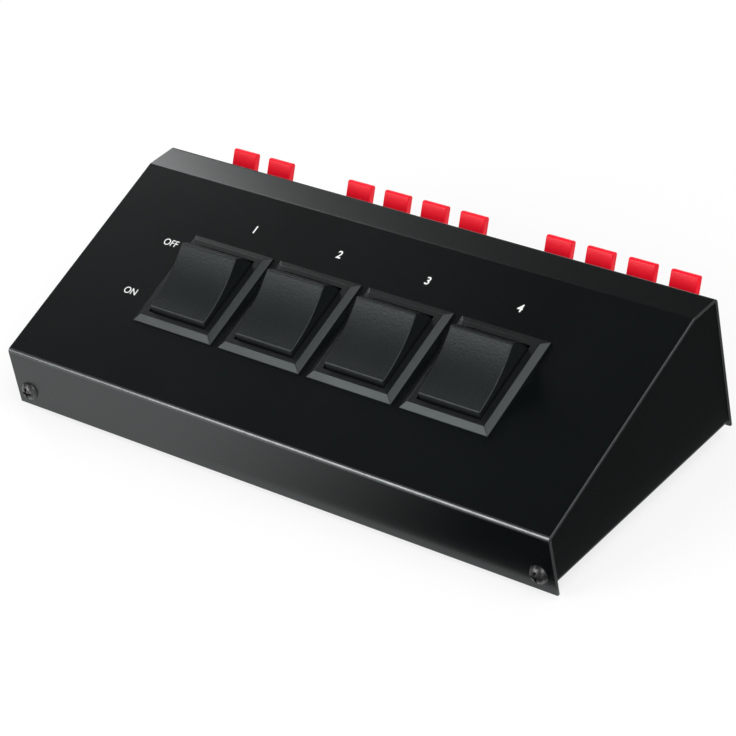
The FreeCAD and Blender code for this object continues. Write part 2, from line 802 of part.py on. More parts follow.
def make_switched_wires():
    """The wires from the outgoing lugs to the upper tags of the output blocks."""
    tag_y, tag_z = tag_end()
    lug_columns = [x + pole for x in switch_places() for pole in (-pole_offset, pole_offset)]
    plane_y = tag_y - wire_plane_from_tags
    wires = []
    for i, (lug_x, tag_x) in enumerate(zip(lug_columns, output_columns())):
        start = slope_point(lug_x, contact_offset, lug_tip - wire_solder_gap)
        below = slope_point(lug_x, contact_offset, lug_tip - wire_drop)
        lane_z = wire_first_lane + (len(lug_columns) - 1 - i) * wire_lane_step
        route = [
            start,
            below,
            (lug_x, plane_y, below[2]),
            (lug_x, plane_y, lane_z),
            (tag_x, plane_y, lane_z),
            (tag_x, plane_y, tag_z),
            (tag_x, tag_y - wire_solder_gap, tag_z),
        ]
        wires.append(tube(route, wire_radius, wire_bend))
    return Part.makeCompound(wires)


def make_feed_wires():
    """The wires from the input block to the first switch, and on from switch to switch."""
    tag_y, tag_z = tag_end()
    wires = []
    poles = [(-pole_offset, wire_low_run, 0.0), (pole_offset, wire_high_run, 1.0)]
    for (pole, run_z, other), tag_x in zip(poles, lever_places(0)):
        lug_y = slope_point(0, 0, lug_tip - wire_solder_gap)[1]
        lug_z = slope_point(0, 0, lug_tip - wire_solder_gap)[2] - lug_thickness / 2
        first_x = switch_places()[0] + pole - wire_side_step
        drop_y = tag_y - feed_drop_from_tags - other * feed_drop_step
        route = [
            (tag_x, tag_y - wire_solder_gap, tag_z),
            (tag_x, drop_y, tag_z),
            (tag_x, drop_y, run_z),
            (first_x, drop_y, run_z),
            (first_x, lug_y, run_z),
            (first_x, lug_y, lug_z),
        ]
        wires.append(tube(route, wire_radius, wire_bend))
        for here, there in zip(switch_places(), switch_places()[1:]):
            start_x = here + pole + wire_side_step
            end_x = there + pole - wire_side_step
            run_y = lug_y + other * feed_side_offset
            route = [(start_x, lug_y, lug_z), (start_x, lug_y, run_z)]
            if other:
                route += [(start_x, run_y, run_z), (end_x, run_y, run_z)]
            route += [(end_x, lug_y, run_z), (end_x, lug_y, lug_z)]
            wires.append(tube(route, wire_radius, wire_bend))
    return Part.makeCompound(wires)


def make_return_wires():
    """The wires along the lower tags, from the input block to every output."""
    tag_y, _ = tag_end()
    tag_z = block_rise - strip_tag_rise - strip_thickness - wire_solder_gap
    outputs = output_columns()
    wires = []
    for channel, input_x in enumerate(lever_places(0)):
        columns = [input_x] + outputs[channel::2]
        run_y = tag_y + return_plane_offset + channel * return_plane_step
        run_z = tag_z - return_first_drop - channel * return_drop_step
        for here, there in zip(columns, columns[1:]):
            start_x = here + return_end_offset
            end_x = there - return_end_offset
            down = [(start_x, run_y, tag_z), (start_x, run_y, run_z)]
            up = [(end_x, run_y, run_z), (end_x, run_y, tag_z)]
            wires.append(tube(down + up, wire_radius, wire_bend))
    return Part.makeCompound(wires)


def build():
    """Every sub-part by name, drawn from the front panel's face."""
    nodes = {"wrap_cover": make_cover(), "base_tray": make_tray()}
    nodes["rubber_feet"] = make_feet()
    nodes["case_screws"] = make_case_screws()
    housing = make_housing()
    rocker = make_rocker()
    plungers = make_plungers()
    springs = make_plunger_springs()
    blades = make_blades()
    for i, x in enumerate(switch_places(), 1):
        nodes[f"switch_housing_{i}"] = on_slope(housing, x)
        nodes[f"rocker_{i}"] = set_rocker(rocker, x)
        nodes[f"plungers_{i}"] = set_rocker(plungers, x)
        nodes[f"plunger_springs_{i}"] = set_rocker(springs, x)
        nodes[f"contact_blades_{i}"] = set_blades(blades, x)
    nodes["common_lugs"] = make_common_lugs()
    nodes["switched_lugs"] = make_switched_lugs()
    block_names = ["input", "speakers_1_2", "speakers_3_4"]
    upper, lower = both_rows(make_lever())
    lever_number = 0
    for index, name in enumerate(block_names):
        nodes[f"terminal_block_{name}"] = make_block(index)
        nodes[f"contact_strips_{name}"] = make_strips(index)
        nodes[f"leaf_springs_{name}"] = make_leaf_springs(index)
        for place in lever_places(index):
            lever_number += 1
            nodes[f"red_lever_{lever_number}"] = on_back(upper, place)
            nodes[f"black_lever_{lever_number}"] = on_back(lower, place)
    nodes["block_rivets"] = make_rivets()
    nodes["switched_wires"] = make_switched_wires()
    nodes["feed_wires"] = make_feed_wires()
    nodes["return_wires"] = make_return_wires()
    return nodes


def footprint_middle(nodes):
    """The y of the middle between the front screw heads and the rearmost lever."""
    reach = [shape.optimalBoundingBox(False, False) for shape in nodes.values()]
    return (min(box.YMin for box in reach) + max(box.YMax for box in reach)) / 2


def main():
    """Builds the nodes, centres them and writes one STEP file for each."""
    os.makedirs("parts", exist_ok=True)
    nodes = build()
    middle = footprint_middle(nodes)
    print("front face at y =", round(-middle, 4))
    for name, shape in nodes.items():
        shape.translate(Vector(0, -middle, 0))
        shape.exportStep(f"parts/{name}.step")
        print(name, len(shape.Solids), "solids", round(shape.Volume, 2), "mm3", shape.isValid())


main()
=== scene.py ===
import json
import math
from contextlib import contextmanager

import bmesh
import bpy
from bpy.props import FloatProperty, FloatVectorProperty, IntProperty, PointerProperty
from mathutils import Matrix, Vector


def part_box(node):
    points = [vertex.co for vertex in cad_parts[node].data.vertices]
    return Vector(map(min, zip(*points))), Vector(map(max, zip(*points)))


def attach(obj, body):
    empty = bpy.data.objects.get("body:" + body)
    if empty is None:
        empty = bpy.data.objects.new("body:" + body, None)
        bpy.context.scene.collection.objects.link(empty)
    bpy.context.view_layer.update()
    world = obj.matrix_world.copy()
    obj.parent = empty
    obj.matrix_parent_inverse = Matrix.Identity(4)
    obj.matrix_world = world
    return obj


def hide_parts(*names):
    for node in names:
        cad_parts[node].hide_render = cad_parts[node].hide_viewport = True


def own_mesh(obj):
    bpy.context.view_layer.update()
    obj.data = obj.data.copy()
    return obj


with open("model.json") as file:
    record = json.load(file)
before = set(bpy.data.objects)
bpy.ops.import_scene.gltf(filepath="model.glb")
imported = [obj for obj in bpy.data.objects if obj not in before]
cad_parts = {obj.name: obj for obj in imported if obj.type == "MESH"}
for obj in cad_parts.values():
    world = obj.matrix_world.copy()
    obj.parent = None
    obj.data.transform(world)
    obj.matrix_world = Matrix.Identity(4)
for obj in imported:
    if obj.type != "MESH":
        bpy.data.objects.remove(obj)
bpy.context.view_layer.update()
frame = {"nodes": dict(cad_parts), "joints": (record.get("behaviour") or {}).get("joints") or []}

bl_info = {
    "name": "Speaker Selector Switch",
    "version": (1, 0, 0),
    "blender": (4, 5, 0),
    "location": "3D View > Sidebar > Selector",
    "description": "Models and finishes a wedge shaped speaker selector with four rockers",
    "category": "Object",
}

MM = 0.001
NEAR = 0.01 * MM  # Places closer than this count as one
PLAY = 0.05 * MM  # Gap around a pin in its socket and a rivet in its hole
JOINTS = {joint["name"]: joint for joint in frame["joints"]}
SWITCHES = range(1, 5)
LEVERS = range(1, 11)
BLOCKS = ("input", "speakers_1_2", "speakers_3_4")


def length(name, millimetres, description):
    """A size in metres, given here in millimetres."""
    return FloatProperty(
        name=name, description=description, default=millimetres * MM,
        min=0.0, unit="LENGTH", precision=5,
    )


def position(name, millimetres, description):
    """A place along an axis in metres, given here in millimetres."""
    return FloatProperty(name=name, description=description, default=millimetres * MM, unit="LENGTH")


def angle(name, degrees, description):
    """An angle in radians, given here in degrees."""
    turn = math.radians(degrees)
    return FloatProperty(name=name, description=description, default=turn, unit="ROTATION")


def colour(name, rgb, description):
    """An opaque colour that renders about as it is written."""
    return FloatVectorProperty(
        name=name, description=description, default=(*rgb, 1.0),
        size=4, min=0.0, max=1.0, subtype="COLOR",
    )


class CaseSizes(bpy.types.PropertyGroup):
    sheet: length("Sheet", 1.0, "Thickness of the steel sheet")
    bend: length("Bend radius", 1.4, "Outer radius of the folds")
    cut_edge: length("Cut edge", 0.25, "Rounding that the paint gives to a cut edge")
    front_height: length("Front height", 19.0, "Height of the front panel up to its fold")
    ridge_depth: length("Ridge depth", 11.3, "Depth of the flat strip along the top")
    rear_lip: length("Rear lip", 1.1, "How far the rear panel reaches below the floor")
    sheet_gap: length("Sheet gap", 0.15, "Gap between the cover and the tray")
    side_inset: length("Side inset", 0.3, "How far the side walls stand inside the cover's edges")
    tab_height: length("Tab height", 11.0, "Height of the corner tabs that take the screws")
    front_tab: length("Front tab", 12.0, "Width of the front corner tabs")
    rear_tab: length("Rear tab", 8.0, "Width of the rear corner tabs")
    relief: length("Corner relief", 9.0, "Size of the notches in the floor's corners")
    hole_gap: length("Hole gap", 0.2, "Clearance around what passes through the cover")


class SwitchSizes(bpy.types.PropertyGroup):
    bezel_width: length("Bezel width", 31.4, "Width of a switch bezel")
    bezel_length: length("Bezel length", 33.8, "Length of a switch bezel up the slope")
    bezel_height: length("Bezel height", 1.65, "Height of the bezel above the slope")
    bezel_base: length("Bezel base", 0.4, "Height of the upright edge below the chamfer")
    bezel_chamfer: length("Bezel chamfer", 2.1, "Width of the sloped edge of the bezel")
    bezel_edge: length("Bezel edge", 0.13, "Rounding of the bezel's edges")
    well_gap: length("Well gap", 0.35, "Gap between the rocker and its well")
    wall: length("Wall", 1.6, "Thickness of the housing and rocker walls")
    floor: length("Floor", 1.5, "Thickness of the housing's floor")
    depth: length("Depth", 16.5, "Depth of the housing below the panel")
    rocker_width: length("Rocker width", 22.0, "Width of a rocker")
    rocker_radius: length("Rocker radius", 12.9, "Radius of the rocker's ends about its pivot")
    rocker_rise: length("Rocker rise", 7.35, "Height of the rocker's ends above its pivot")
    rocker_dish: length("Rocker dish", 1.3, "Depth of the hollow in the rocker's top")
    rocker_edge: length("Rocker edge", 0.45, "Rounding of the rocker's edges")
    rocker_skirt: angle("Rocker skirt", 14.0, "How far the ends reach below the pivot")
    rocker_tilt: angle("Rocker tilt", 13.8, "Tilt of the rocker with its near end pressed")
    ceiling: length("Ceiling", 4.0, "Height of the hollow under the rocker's top")
    pivot_depth: length("Pivot depth", 1.4, "Depth of the pivot below the panel")
    pivot_radius: length("Pivot radius", 1.4, "Radius of the pivot stubs")
    pivot_length: length("Pivot length", 1.3, "Length of the pivot stubs")
    pole_offset: length("Pole offset", 5.0, "Distance of each contact pair from the middle")
    boss_radius: length("Boss radius", 2.6, "Outer radius of the plunger bosses")
    boss_bore: length("Boss bore", 1.7, "Inner radius of the plunger bosses")
    boss_length: length("Boss length", 5.5, "Reach of the bosses below the pivot")
    lug_width: length("Lug width", 5.0, "Width of the slots for the solder lugs")
    lug_thickness: length("Lug thickness", 1.0, "Thickness of the slots for the solder lugs")
    contact_offset: length("Contact offset", 9.0, "Distance of the outer lugs from the middle ones")
    latch_reach: length("Latch reach", 0.9, "How far the latches stand out under the sheet")
    latch_height: length("Latch height", 3.4, "Height of the latches")
    latch_length: length("Latch length", 10.0, "Length of the latches")
    rib_height: length("Rib height", 3.6, "Height of the rib at the contacts' free ends")
    rib_thickness: length("Rib thickness", 1.6, "Thickness of the rib at the contacts' free ends")


class TerminalSizes(bpy.types.PropertyGroup):
    tab_width: length("Tab width", 9.3, "Width of a terminal lever")
    tab_reach: length("Tab reach", 11.26, "Length of a lever's finger tab above its hinge")
    tab_thickness: length("Tab thickness", 2.2, "Thickness of a finger tab")
    tab_lean: angle("Tab lean", 27.5, "Lean of the finger tab away from the case")
    tip_round: length("Tip rounding", 0.75, "Rounding of the tab's tip")
    tab_edge: length("Tab edge", 0.28, "Rounding of the tab's other edges")
    hub_radius: length("Hub radius", 2.2, "Radius of a lever's hub")
    pin_radius: length("Pin radius", 0.9, "Radius of a lever's hinge pins")
    pin_length: length("Pin length", 1.25, "Length of a lever's hinge pins")
    arm_reach: length("Arm reach", 9.0, "Reach of the clamping arm behind the hinge")
    arm_thickness: length("Arm thickness", 1.8, "Thickness of the clamping arm")
    arm_width: length("Arm width", 4.0, "Width of the clamping arm")
    foot_length: length("Foot length", 1.6, "Length of the clamping foot")
    foot_drop: length("Foot drop", 2.3, "Reach of the clamping foot below the arm")
    foot_width: length("Foot width", 3.0, "Width of the clamping foot")
    body_side: length("Body side", 5.2, "Width of the flange on each side of the body")
    body_front: length("Body front", 7.5, "How far the body stands out of the rear panel")
    body_half: length("Body half height", 14.2, "Half the height of the body")
    body_chamfer: length("Body chamfer", 1.5, "Chamfer along the body's outer edges")
    flange: length("Flange", 1.8, "Thickness of the flange")
    flange_corner: length("Flange corner", 2.0, "Radius of the flange's corners")
    pocket_gap: length("Pocket gap", 0.3, "Gap beside a lever in its pocket")
    pocket_floor: length("Pocket floor", 0.5, "Height of a pocket's floor above the middle")
    pocket_roof: length("Pocket roof", 13.1, "Height of a pocket's roof above the middle")
    pocket_back: length("Pocket back", 8.5, "Depth of a pocket behind the panel's face")
    sill_height: length("Sill height", 5.0, "Height of the sill that holds the wire hole")
    sill: length("Sill", 2.0, "Thickness of the sill")
    hole_radius: length("Hole radius", 1.6, "Radius of the wire holes")
    hole_rise: length("Hole rise", 2.7, "Height of the wire holes above the middle")
    hole_flare: length("Hole flare", 0.5, "Size of the countersink of the wire holes")
    edge: length("Edge", 0.16, "Rounding of the moulded edges")
    leaf_thickness: length("Leaf thickness", 0.35, "Thickness of a leaf spring")
    leaf_width: length("Leaf width", 3.4, "Width of a leaf spring")
    leaf_front: length("Leaf front", 1.0, "Reach of a leaf spring in front of the panel")
    leaf_back: length("Leaf back", 7.7, "Reach of a leaf spring behind the panel")
    leaf_keep: FloatProperty(
        name="Leaf keep", default=0.26, min=0.05, max=1.0, subtype="FACTOR",
        description="Share of a leaf spring's height that is left when its lever is pressed",
    )


class FastenerSizes(bpy.types.PropertyGroup):
    screw_inset: length("Screw inset", 5.5, "Distance of the case screws from the case's ends")
    screw_rise: length("Screw rise", 2.0, "Height of the case screws above the floor")
    screw_radius: length("Screw radius", 1.45, "Radius of a case screw's thread")
    screw_length: length("Screw length", 7.0, "Length of a case screw")
    head_radius: length("Head radius", 3.1, "Radius of a case screw's head")
    head_height: length("Head height", 2.0, "Height of a case screw's head")
    slot_width: length("Slot width", 0.9, "Width of the cross slot")
    slot_length: length("Slot length", 3.6, "Length of the cross slot")
    slot_depth: length("Slot depth", 1.1, "Depth of the cross slot")
    slot_edge: length("Slot edge", 0.06, "Rounding of the cross slot's edges")
    screw_point: length("Screw point", 0.6, "Length of the cone at a case screw's end")
    rivet_radius: length("Rivet radius", 1.4, "Radius of a block rivet")
    rivet_head: length("Rivet head", 2.2, "Radius of a block rivet's head")
    rivet_height: length("Rivet height", 1.0, "Height of a block rivet's head")
    rivet_inset: length("Rivet inset", 2.6, "Distance of the rivets from the flange's ends")
    foot_radius: length("Foot radius", 5.5, "Radius of a rubber foot")
    foot_edge: length("Foot edge", 0.8, "Rounding of a rubber foot")
    foot_inset_x: length("Foot inset along", 14.5, "Distance of the feet from the case's ends")
    foot_inset_y: length("Foot inset across", 13.0, "Distance of the feet from the panels")


class PrintSizes(bpy.types.PropertyGroup):
    number_size: length("Number size", 3.8, "Type size of the switch numbers")
    word_size: length("Word size", 3.3, "Type size of ON and OFF")
    ink: length("Ink", 0.02, "Thickness of the printed ink")
    number_along: length("Number place", 24.6, "Distance of the numbers up the slope from the switches")
    number_side: length("Number side", 2.45, "Distance of the first number right of the first switch")
    number_pitch: length("Number pitch", 33.4, "Distance from one number to the next")
    bold: length("Bold", 0.06, "How much each stroke of the print is widened on each side")
    off_left: length("OFF left", 22.6, "Distance of the word OFF left of the first switch")
    off_along: length("OFF place", 11.9, "Distance of the word OFF up the slope")
    on_left: length("ON left", 24.1, "Distance of the word ON left of the first switch")
    on_down: length("ON place", 7.9, "Distance of the word ON down the slope")


class Colours(bpy.types.PropertyGroup):
    paint: colour("Case paint", (0.0022, 0.0031, 0.0033), "Satin black paint of the case")
    bezel: colour("Bezel", (0.0045, 0.0056, 0.0060), "Black plastic of the bezels")
    rocker: colour("Rocker", (0.0050, 0.0066, 0.0070), "Textured black plastic of the rockers")
    red: colour("Red lever", (0.94, 0.006, 0.024), "Red plastic of the upper levers")
    black: colour("Black lever", (0.012, 0.012, 0.013), "Black plastic of the lower levers")
    block: colour("Terminal block", (0.014, 0.0145, 0.015), "Black plastic of the terminal blocks")
    ink: colour("Ink", (0.80, 0.82, 0.80), "White ink of the print")
    rubber: colour("Rubber", (0.02, 0.02, 0.02), "Rubber of the feet")
    floor: colour("Floor", (0.90, 0.90, 0.90), "Pale floor of the studio")


class StageSizes(bpy.types.PropertyGroup):
    azimuth: angle("Azimuth", 45.54, "Turn of the camera to the right of the front")
    elevation: angle("Elevation", 32.96, "Height of the camera above the horizon")
    roll: angle("Roll", -11.09, "Turn of the camera about its own axis")
    distance: length("Distance", 857.2, "Distance from the camera to the point it looks at")
    aim_x: position("Aim X", 11.2, "Point the camera looks at")
    aim_y: position("Aim Y", -9.98, "Point the camera looks at")
    aim_z: position("Aim Z", 25.0, "Point the camera looks at")
    lens: FloatProperty(name="Lens", description="Focal length in millimetres", default=146.65, min=1.0)
    soft_light: FloatProperty(
        name="Soft light", default=0.55, min=0.0, description="Strength of the light from all round",
    )
    floor_radius: length("Floor radius", 3000.0, "Radius of the round floor")
    floor_drop: length("Floor drop", 0.02, "Gap between the feet and the floor")
    card_lift: length("Card lift", 0.5, "Height of the low cards above the ground")
    steps: IntProperty(
        name="Arc steps", default=20, min=4, description="Straight steps of a rounded form",
    )


PROPERTY_GROUPS = {
    "selector_case": CaseSizes,
    "selector_switch": SwitchSizes,
    "selector_terminal": TerminalSizes,
    "selector_fastener": FastenerSizes,
    "selector_print": PrintSizes,
    "selector_colours": Colours,
    "selector_stage": StageSizes,
}


# Modelling steps

def deselect():
    """Deselects everything, so that the next operator acts on its own piece alone."""
    bpy.ops.object.select_all(action="DESELECT")


def choose(piece):
    """Makes one piece the only selected and active one."""
    deselect()
    piece.select_set(True)
    bpy.context.view_layer.objects.active = piece


@contextmanager
def editing(piece):
    """Opens a piece in edit mode, and closes it afterwards."""
    choose(piece)
    bpy.ops.object.mode_set(mode="EDIT")
    yield
    bpy.ops.object.mode_set(mode="OBJECT")


def pick(kind, test):
    """Selects the vertices, edges or faces whose middle and normal pass a test, in edit mode."""
    bpy.context.tool_settings.mesh_select_mode = [kind == each for each in ("VERT", "EDGE", "FACE")]
    bpy.ops.mesh.select_all(action="DESELECT")
    mesh = bpy.context.edit_object.data
    shape = bmesh.from_edit_mesh(mesh)
    if kind == "FACE":
        chosen = [face for face in shape.faces if test(face.calc_center_median(), face.normal)]
    elif kind == "EDGE":
        chosen = [edge for edge in shape.edges if test(*[corner.co for corner in edge.verts])]
    else:
        chosen = [corner for corner in shape.verts if test(corner.co)]
    for item in chosen:
        item.select_set(True)
    shape.select_flush_mode()
    bmesh.update_edit_mesh(mesh)
    if not chosen:
        raise RuntimeError("nothing in the piece passed the test")


def named(name):
    """Names the piece that was just added, with its place put into its mesh."""
    bpy.ops.object.transform_apply(location=True, rotation=True, scale=True)
    piece = bpy.context.object
    piece.name = piece.data.name = name
    return piece


def around(middle, width):
    """The limits of a width about a middle."""
    return middle - width / 2, middle + width / 2


def add_box(name, x, y, z):
    """A box between two limits on each axis."""
    deselect()
    middle = [(low + high) / 2 for low, high in (x, y, z)]
    size = [high - low for low, high in (x, y, z)]
    bpy.ops.mesh.primitive_cube_add(size=1, location=middle, scale=size)
    return named(name)


def add_rod(name, radius, start, end, sides=24, end_radius=None):
    """A round bar or cone from one point to another."""
    deselect()
    start, end = Vector(start), Vector(end)
    axis = end - start
    bpy.ops.mesh.primitive_cone_add(
        vertices=sides, radius1=radius, radius2=radius if end_radius is None else end_radius,
        depth=axis.length, location=(start + end) / 2, rotation=axis.to_track_quat("Z", "Y").to_euler(),
    )
    return named(name)


def add_edge(name, half_width, y, z):
    """A single edge along X, from which a sheet is drawn out."""
    deselect()
    bpy.ops.mesh.primitive_plane_add(size=2 * half_width)
    piece = named(name)
    with editing(piece):
        pick("VERT", lambda place: place.y > 0)
        bpy.ops.mesh.delete(type="VERT")
        pick("EDGE", lambda a, b: True)
        bpy.ops.transform.translate(value=(0, y + half_width, z))
    return piece


def extrude(move):
    """Draws out what is selected by a move."""
    bpy.ops.mesh.extrude_region_move(TRANSFORM_OT_translate={"value": tuple(move)})


def resize(x, y, height):
    """Widens what is selected about the upright axis, at one height."""
    bpy.ops.transform.resize(value=(x, y, 1), center_override=(0, 0, height))


def spin(turn, centre, steps):
    """Draws what is selected round an axis along X; a positive turn goes over the top to the back."""
    bpy.ops.mesh.spin(steps=steps, angle=turn, center=centre, axis=(1, 0, 0))


def turned(name, outline, sides=32):
    """A round piece, made by drawing out and widening a disc through (radius, height) steps."""
    deselect()
    radius, height = outline[0]
    bpy.ops.mesh.primitive_circle_add(
        vertices=sides, radius=radius, fill_type="NGON", location=(0, 0, height),
    )
    piece = named(name)
    with editing(piece):
        pick("FACE", lambda place, normal: True)
        for next_radius, next_height in outline[1:]:
            extrude((0, 0, next_height - height))
            resize(next_radius / radius, next_radius / radius, next_height)
            radius, height = next_radius, next_height
    face_outwards(piece)
    return piece


def face_outwards(piece):
    """Merges a closed piece's doubles and turns its faces outwards."""
    with editing(piece):
        bpy.context.tool_settings.mesh_select_mode = (True, False, False)
        bpy.ops.mesh.select_all(action="SELECT")
        bpy.ops.mesh.remove_doubles(threshold=NEAR / 10)
        bpy.ops.mesh.normals_make_consistent(inside=False)


def modify(piece, kind, **settings):
    """Adds one modifier to a piece and applies it."""
    choose(piece)
    modifier = piece.modifiers.new(kind.lower(), kind)
    for key, value in settings.items():
        setattr(modifier, key, value)
    bpy.ops.object.modifier_apply(modifier=modifier.name)


def round_edges(piece, width, segments=3, sharper_than=50):
    """Rounds every edge that is sharper than an angle in degrees."""
    limit = math.radians(sharper_than)
    modify(piece, "BEVEL", width=width, segments=segments, limit_method="ANGLE", angle_limit=limit)


def join(pieces):
    """Joins pieces into the first one."""
    choose(pieces[0])
    for piece in pieces[1:]:
        piece.select_set(True)
    if len(pieces) > 1:
        bpy.ops.object.join()
    return pieces[0]


def cut(piece, cutters):
    """Cuts pieces that don't touch each other out of another."""
    cutter = join(cutters)
    modify(piece, "BOOLEAN", operation="DIFFERENCE", solver="EXACT", object=cutter)
    bpy.data.objects.remove(cutter)


def smooth(piece, limit=38):
    """Shades round forms smooth and keeps flat faces flat."""
    choose(piece)
    bpy.ops.object.shade_smooth_by_angle(angle=math.radians(limit))
    modify(piece, "WEIGHTED_NORMAL", keep_sharp=True)


def copy_to(model, name, place):
    """A copy of a model, with its own mesh moved to its place."""
    piece = model.copy()
    piece.data = model.data.copy()
    piece.name = piece.data.name = name
    bpy.context.scene.collection.objects.link(piece)
    piece.data.transform(place)
    return piece


def discard(piece):
    """Removes a model or a cutter that has done its work."""
    bpy.data.objects.remove(piece)


def gather(name, model, places):
    """One piece, made of a copy of a model at each place; the model is removed."""
    piece = join([copy_to(model, name, place) for place in places])
    discard(model)
    piece.name = piece.data.name = name
    smooth(piece)
    return piece


def dress(piece, finish, slot, body, *replaced):
    """Gives a finished piece its finish, its body and the sub-parts that it stands for."""
    piece.data.materials.clear()
    piece.data.materials.append(finish)
    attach(piece, body)
    if replaced:
        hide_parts(*replaced)


# Places in the case, worked out from the frame

def case_box():
    """Lowest and highest corner of the steel cover."""
    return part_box("wrap_cover")


def floor_height():
    """Height of the underside of the tray."""
    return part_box("base_tray")[0].z


def side_outline(case):
    """The cover's outer line as (y, z) points, from its front edge to its rear edge."""
    low, high = case_box()
    fold = low.z + case.front_height
    ridge = high.y - case.ridge_depth
    lip = floor_height() - case.rear_lip
    return [(low.y, low.z), (low.y, fold), (ridge, high.z), (high.y, high.z), (high.y, lip)]


def slope_angle(case):
    """Angle of the slope above the horizon."""
    outline = side_outline(case)
    return math.atan2(outline[2][1] - outline[1][1], outline[2][0] - outline[1][0])


def joint_place(name):
    """Where a joint's axis is."""
    return Vector(JOINTS[name]["pos_m"])


def switch_place(scene, number):
    """Moves a piece from the origin to a switch's centre, in the plane of the slope."""
    turn = Matrix.Rotation(slope_angle(scene.selector_case), 4, "X")
    pivot = Matrix.Translation(joint_place(f"rocker_{number}_rock"))
    return pivot @ turn @ Matrix.Translation((0, 0, scene.selector_switch.pivot_depth))


def lever_columns(block):
    """The x of each lever in a terminal block."""
    low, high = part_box(f"terminal_block_{block}")
    places = [joint_place(f"red_lever_{number}_press").x for number in LEVERS]
    return [x for x in places if low.x < x < high.x]


def lever_turn(kind):
    """Turns the red levers' shape over for the black ones."""
    return Matrix.Rotation(math.pi if kind == "black" else 0.0, 4, "Y")


def lever_block(x):
    """The name of the terminal block that holds the lever at an x."""
    for block in BLOCKS:
        low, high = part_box(f"terminal_block_{block}")
        if low.x < x < high.x:
            return block
    raise RuntimeError("a lever stands outside the terminal blocks")


def block_centre(block):
    """The middle of a terminal block, on the rear panel's face."""
    low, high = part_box(f"terminal_block_{block}")
    return Vector(((low.x + high.x) / 2, case_box()[1].y, (low.z + high.z) / 2))


def screw_places(scene):
    """The place and turn of each case screw, drawn with its head up the Z axis."""
    low, high = case_box()
    size = scene.selector_fastener
    places = []
    for x in (low.x + size.screw_inset, high.x - size.screw_inset):
        for y, way in ((low.y, 1), (high.y, -1)):
            turn = Matrix.Rotation(way * math.pi / 2, 4, "X")
            places.append(Matrix.Translation((x, y, floor_height() + size.screw_rise)) @ turn)
    return places


def rivet_places(scene):
    """The x of both rivets of every block."""
    inset = scene.selector_fastener.rivet_inset
    places = []
    for block in BLOCKS:
        low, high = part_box(f"terminal_block_{block}")
        places += [low.x + inset, high.x - inset]
    return places


# Steel case

def model_cover(scene):
    """The cover: one edge drawn along the case's outline, folded, thickened and pierced."""
    case = scene.selector_case
    switch = scene.selector_switch
    high = case_box()[1]
    outline = side_outline(case)
    piece = add_edge("cover_sheet", high.x, *outline[0])
    with editing(piece):
        bpy.context.tool_settings.mesh_select_mode = (False, True, False)
        bpy.ops.mesh.select_all(action="SELECT")
        for (y, z), (next_y, next_z) in zip(outline, outline[1:]):
            extrude((0, next_y - y, next_z - z))
        bpy.ops.mesh.select_all(action="SELECT")
        bpy.ops.mesh.flip_normals()
        for before, here, after in zip(outline, outline[1:], outline[2:]):
            back = Vector(before) - Vector(here)
            ahead = Vector(after) - Vector(here)
            reach = case.bend / math.tan(back.angle(ahead) / 2)
            fold = Vector((0, *here))
            pick("EDGE", lambda a, b: max((end - fold).yz.length for end in (a, b)) < 10 * NEAR)
            bpy.ops.mesh.bevel(offset=reach, offset_type="OFFSET", segments=8, affect="EDGES")
    modify(piece, "SOLIDIFY", thickness=case.sheet, offset=-1, use_even_offset=True)
    face_outwards(piece)
    round_edges(piece, case.cut_edge, segments=4, sharper_than=70)
    cutters = []
    half_width = switch.rocker_width / 2 + switch.well_gap + switch.wall + case.hole_gap
    half_length = switch.rocker_radius + switch.well_gap + switch.wall + case.hole_gap
    reach = 3 * case.sheet
    for number in SWITCHES:
        x, y, z = (-half_width, half_width), (-half_length, half_length), (-reach, reach)
        hole = add_box("hole", x, y, z)
        hole.data.transform(switch_place(scene, number))
        cutters.append(hole)
    gap = case.hole_gap
    terminal = scene.selector_terminal
    for block in BLOCKS:
        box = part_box(f"terminal_block_{block}")
        x = (box[0].x + terminal.body_side - gap, box[1].x - terminal.body_side + gap)
        middle = block_centre(block).z
        z = (middle - terminal.body_half - gap, middle + terminal.body_half + gap)
        cutters.append(add_box("hole", x, (high.y - reach, high.y + reach), z))
    middle = block_centre(BLOCKS[0]).z
    fastener = scene.selector_fastener
    for x in rivet_places(scene):
        start, end = (x, high.y - reach, middle), (x, high.y + reach, middle)
        cutters.append(add_rod("hole", fastener.rivet_radius, start, end))
    for place in screw_places(scene):
        hole = add_rod("hole", fastener.screw_radius + gap, (0, 0, -reach), (0, 0, reach))
        hole.data.transform(place)
        cutters.append(hole)
    cut(piece, cutters)
    smooth(piece)
    return piece


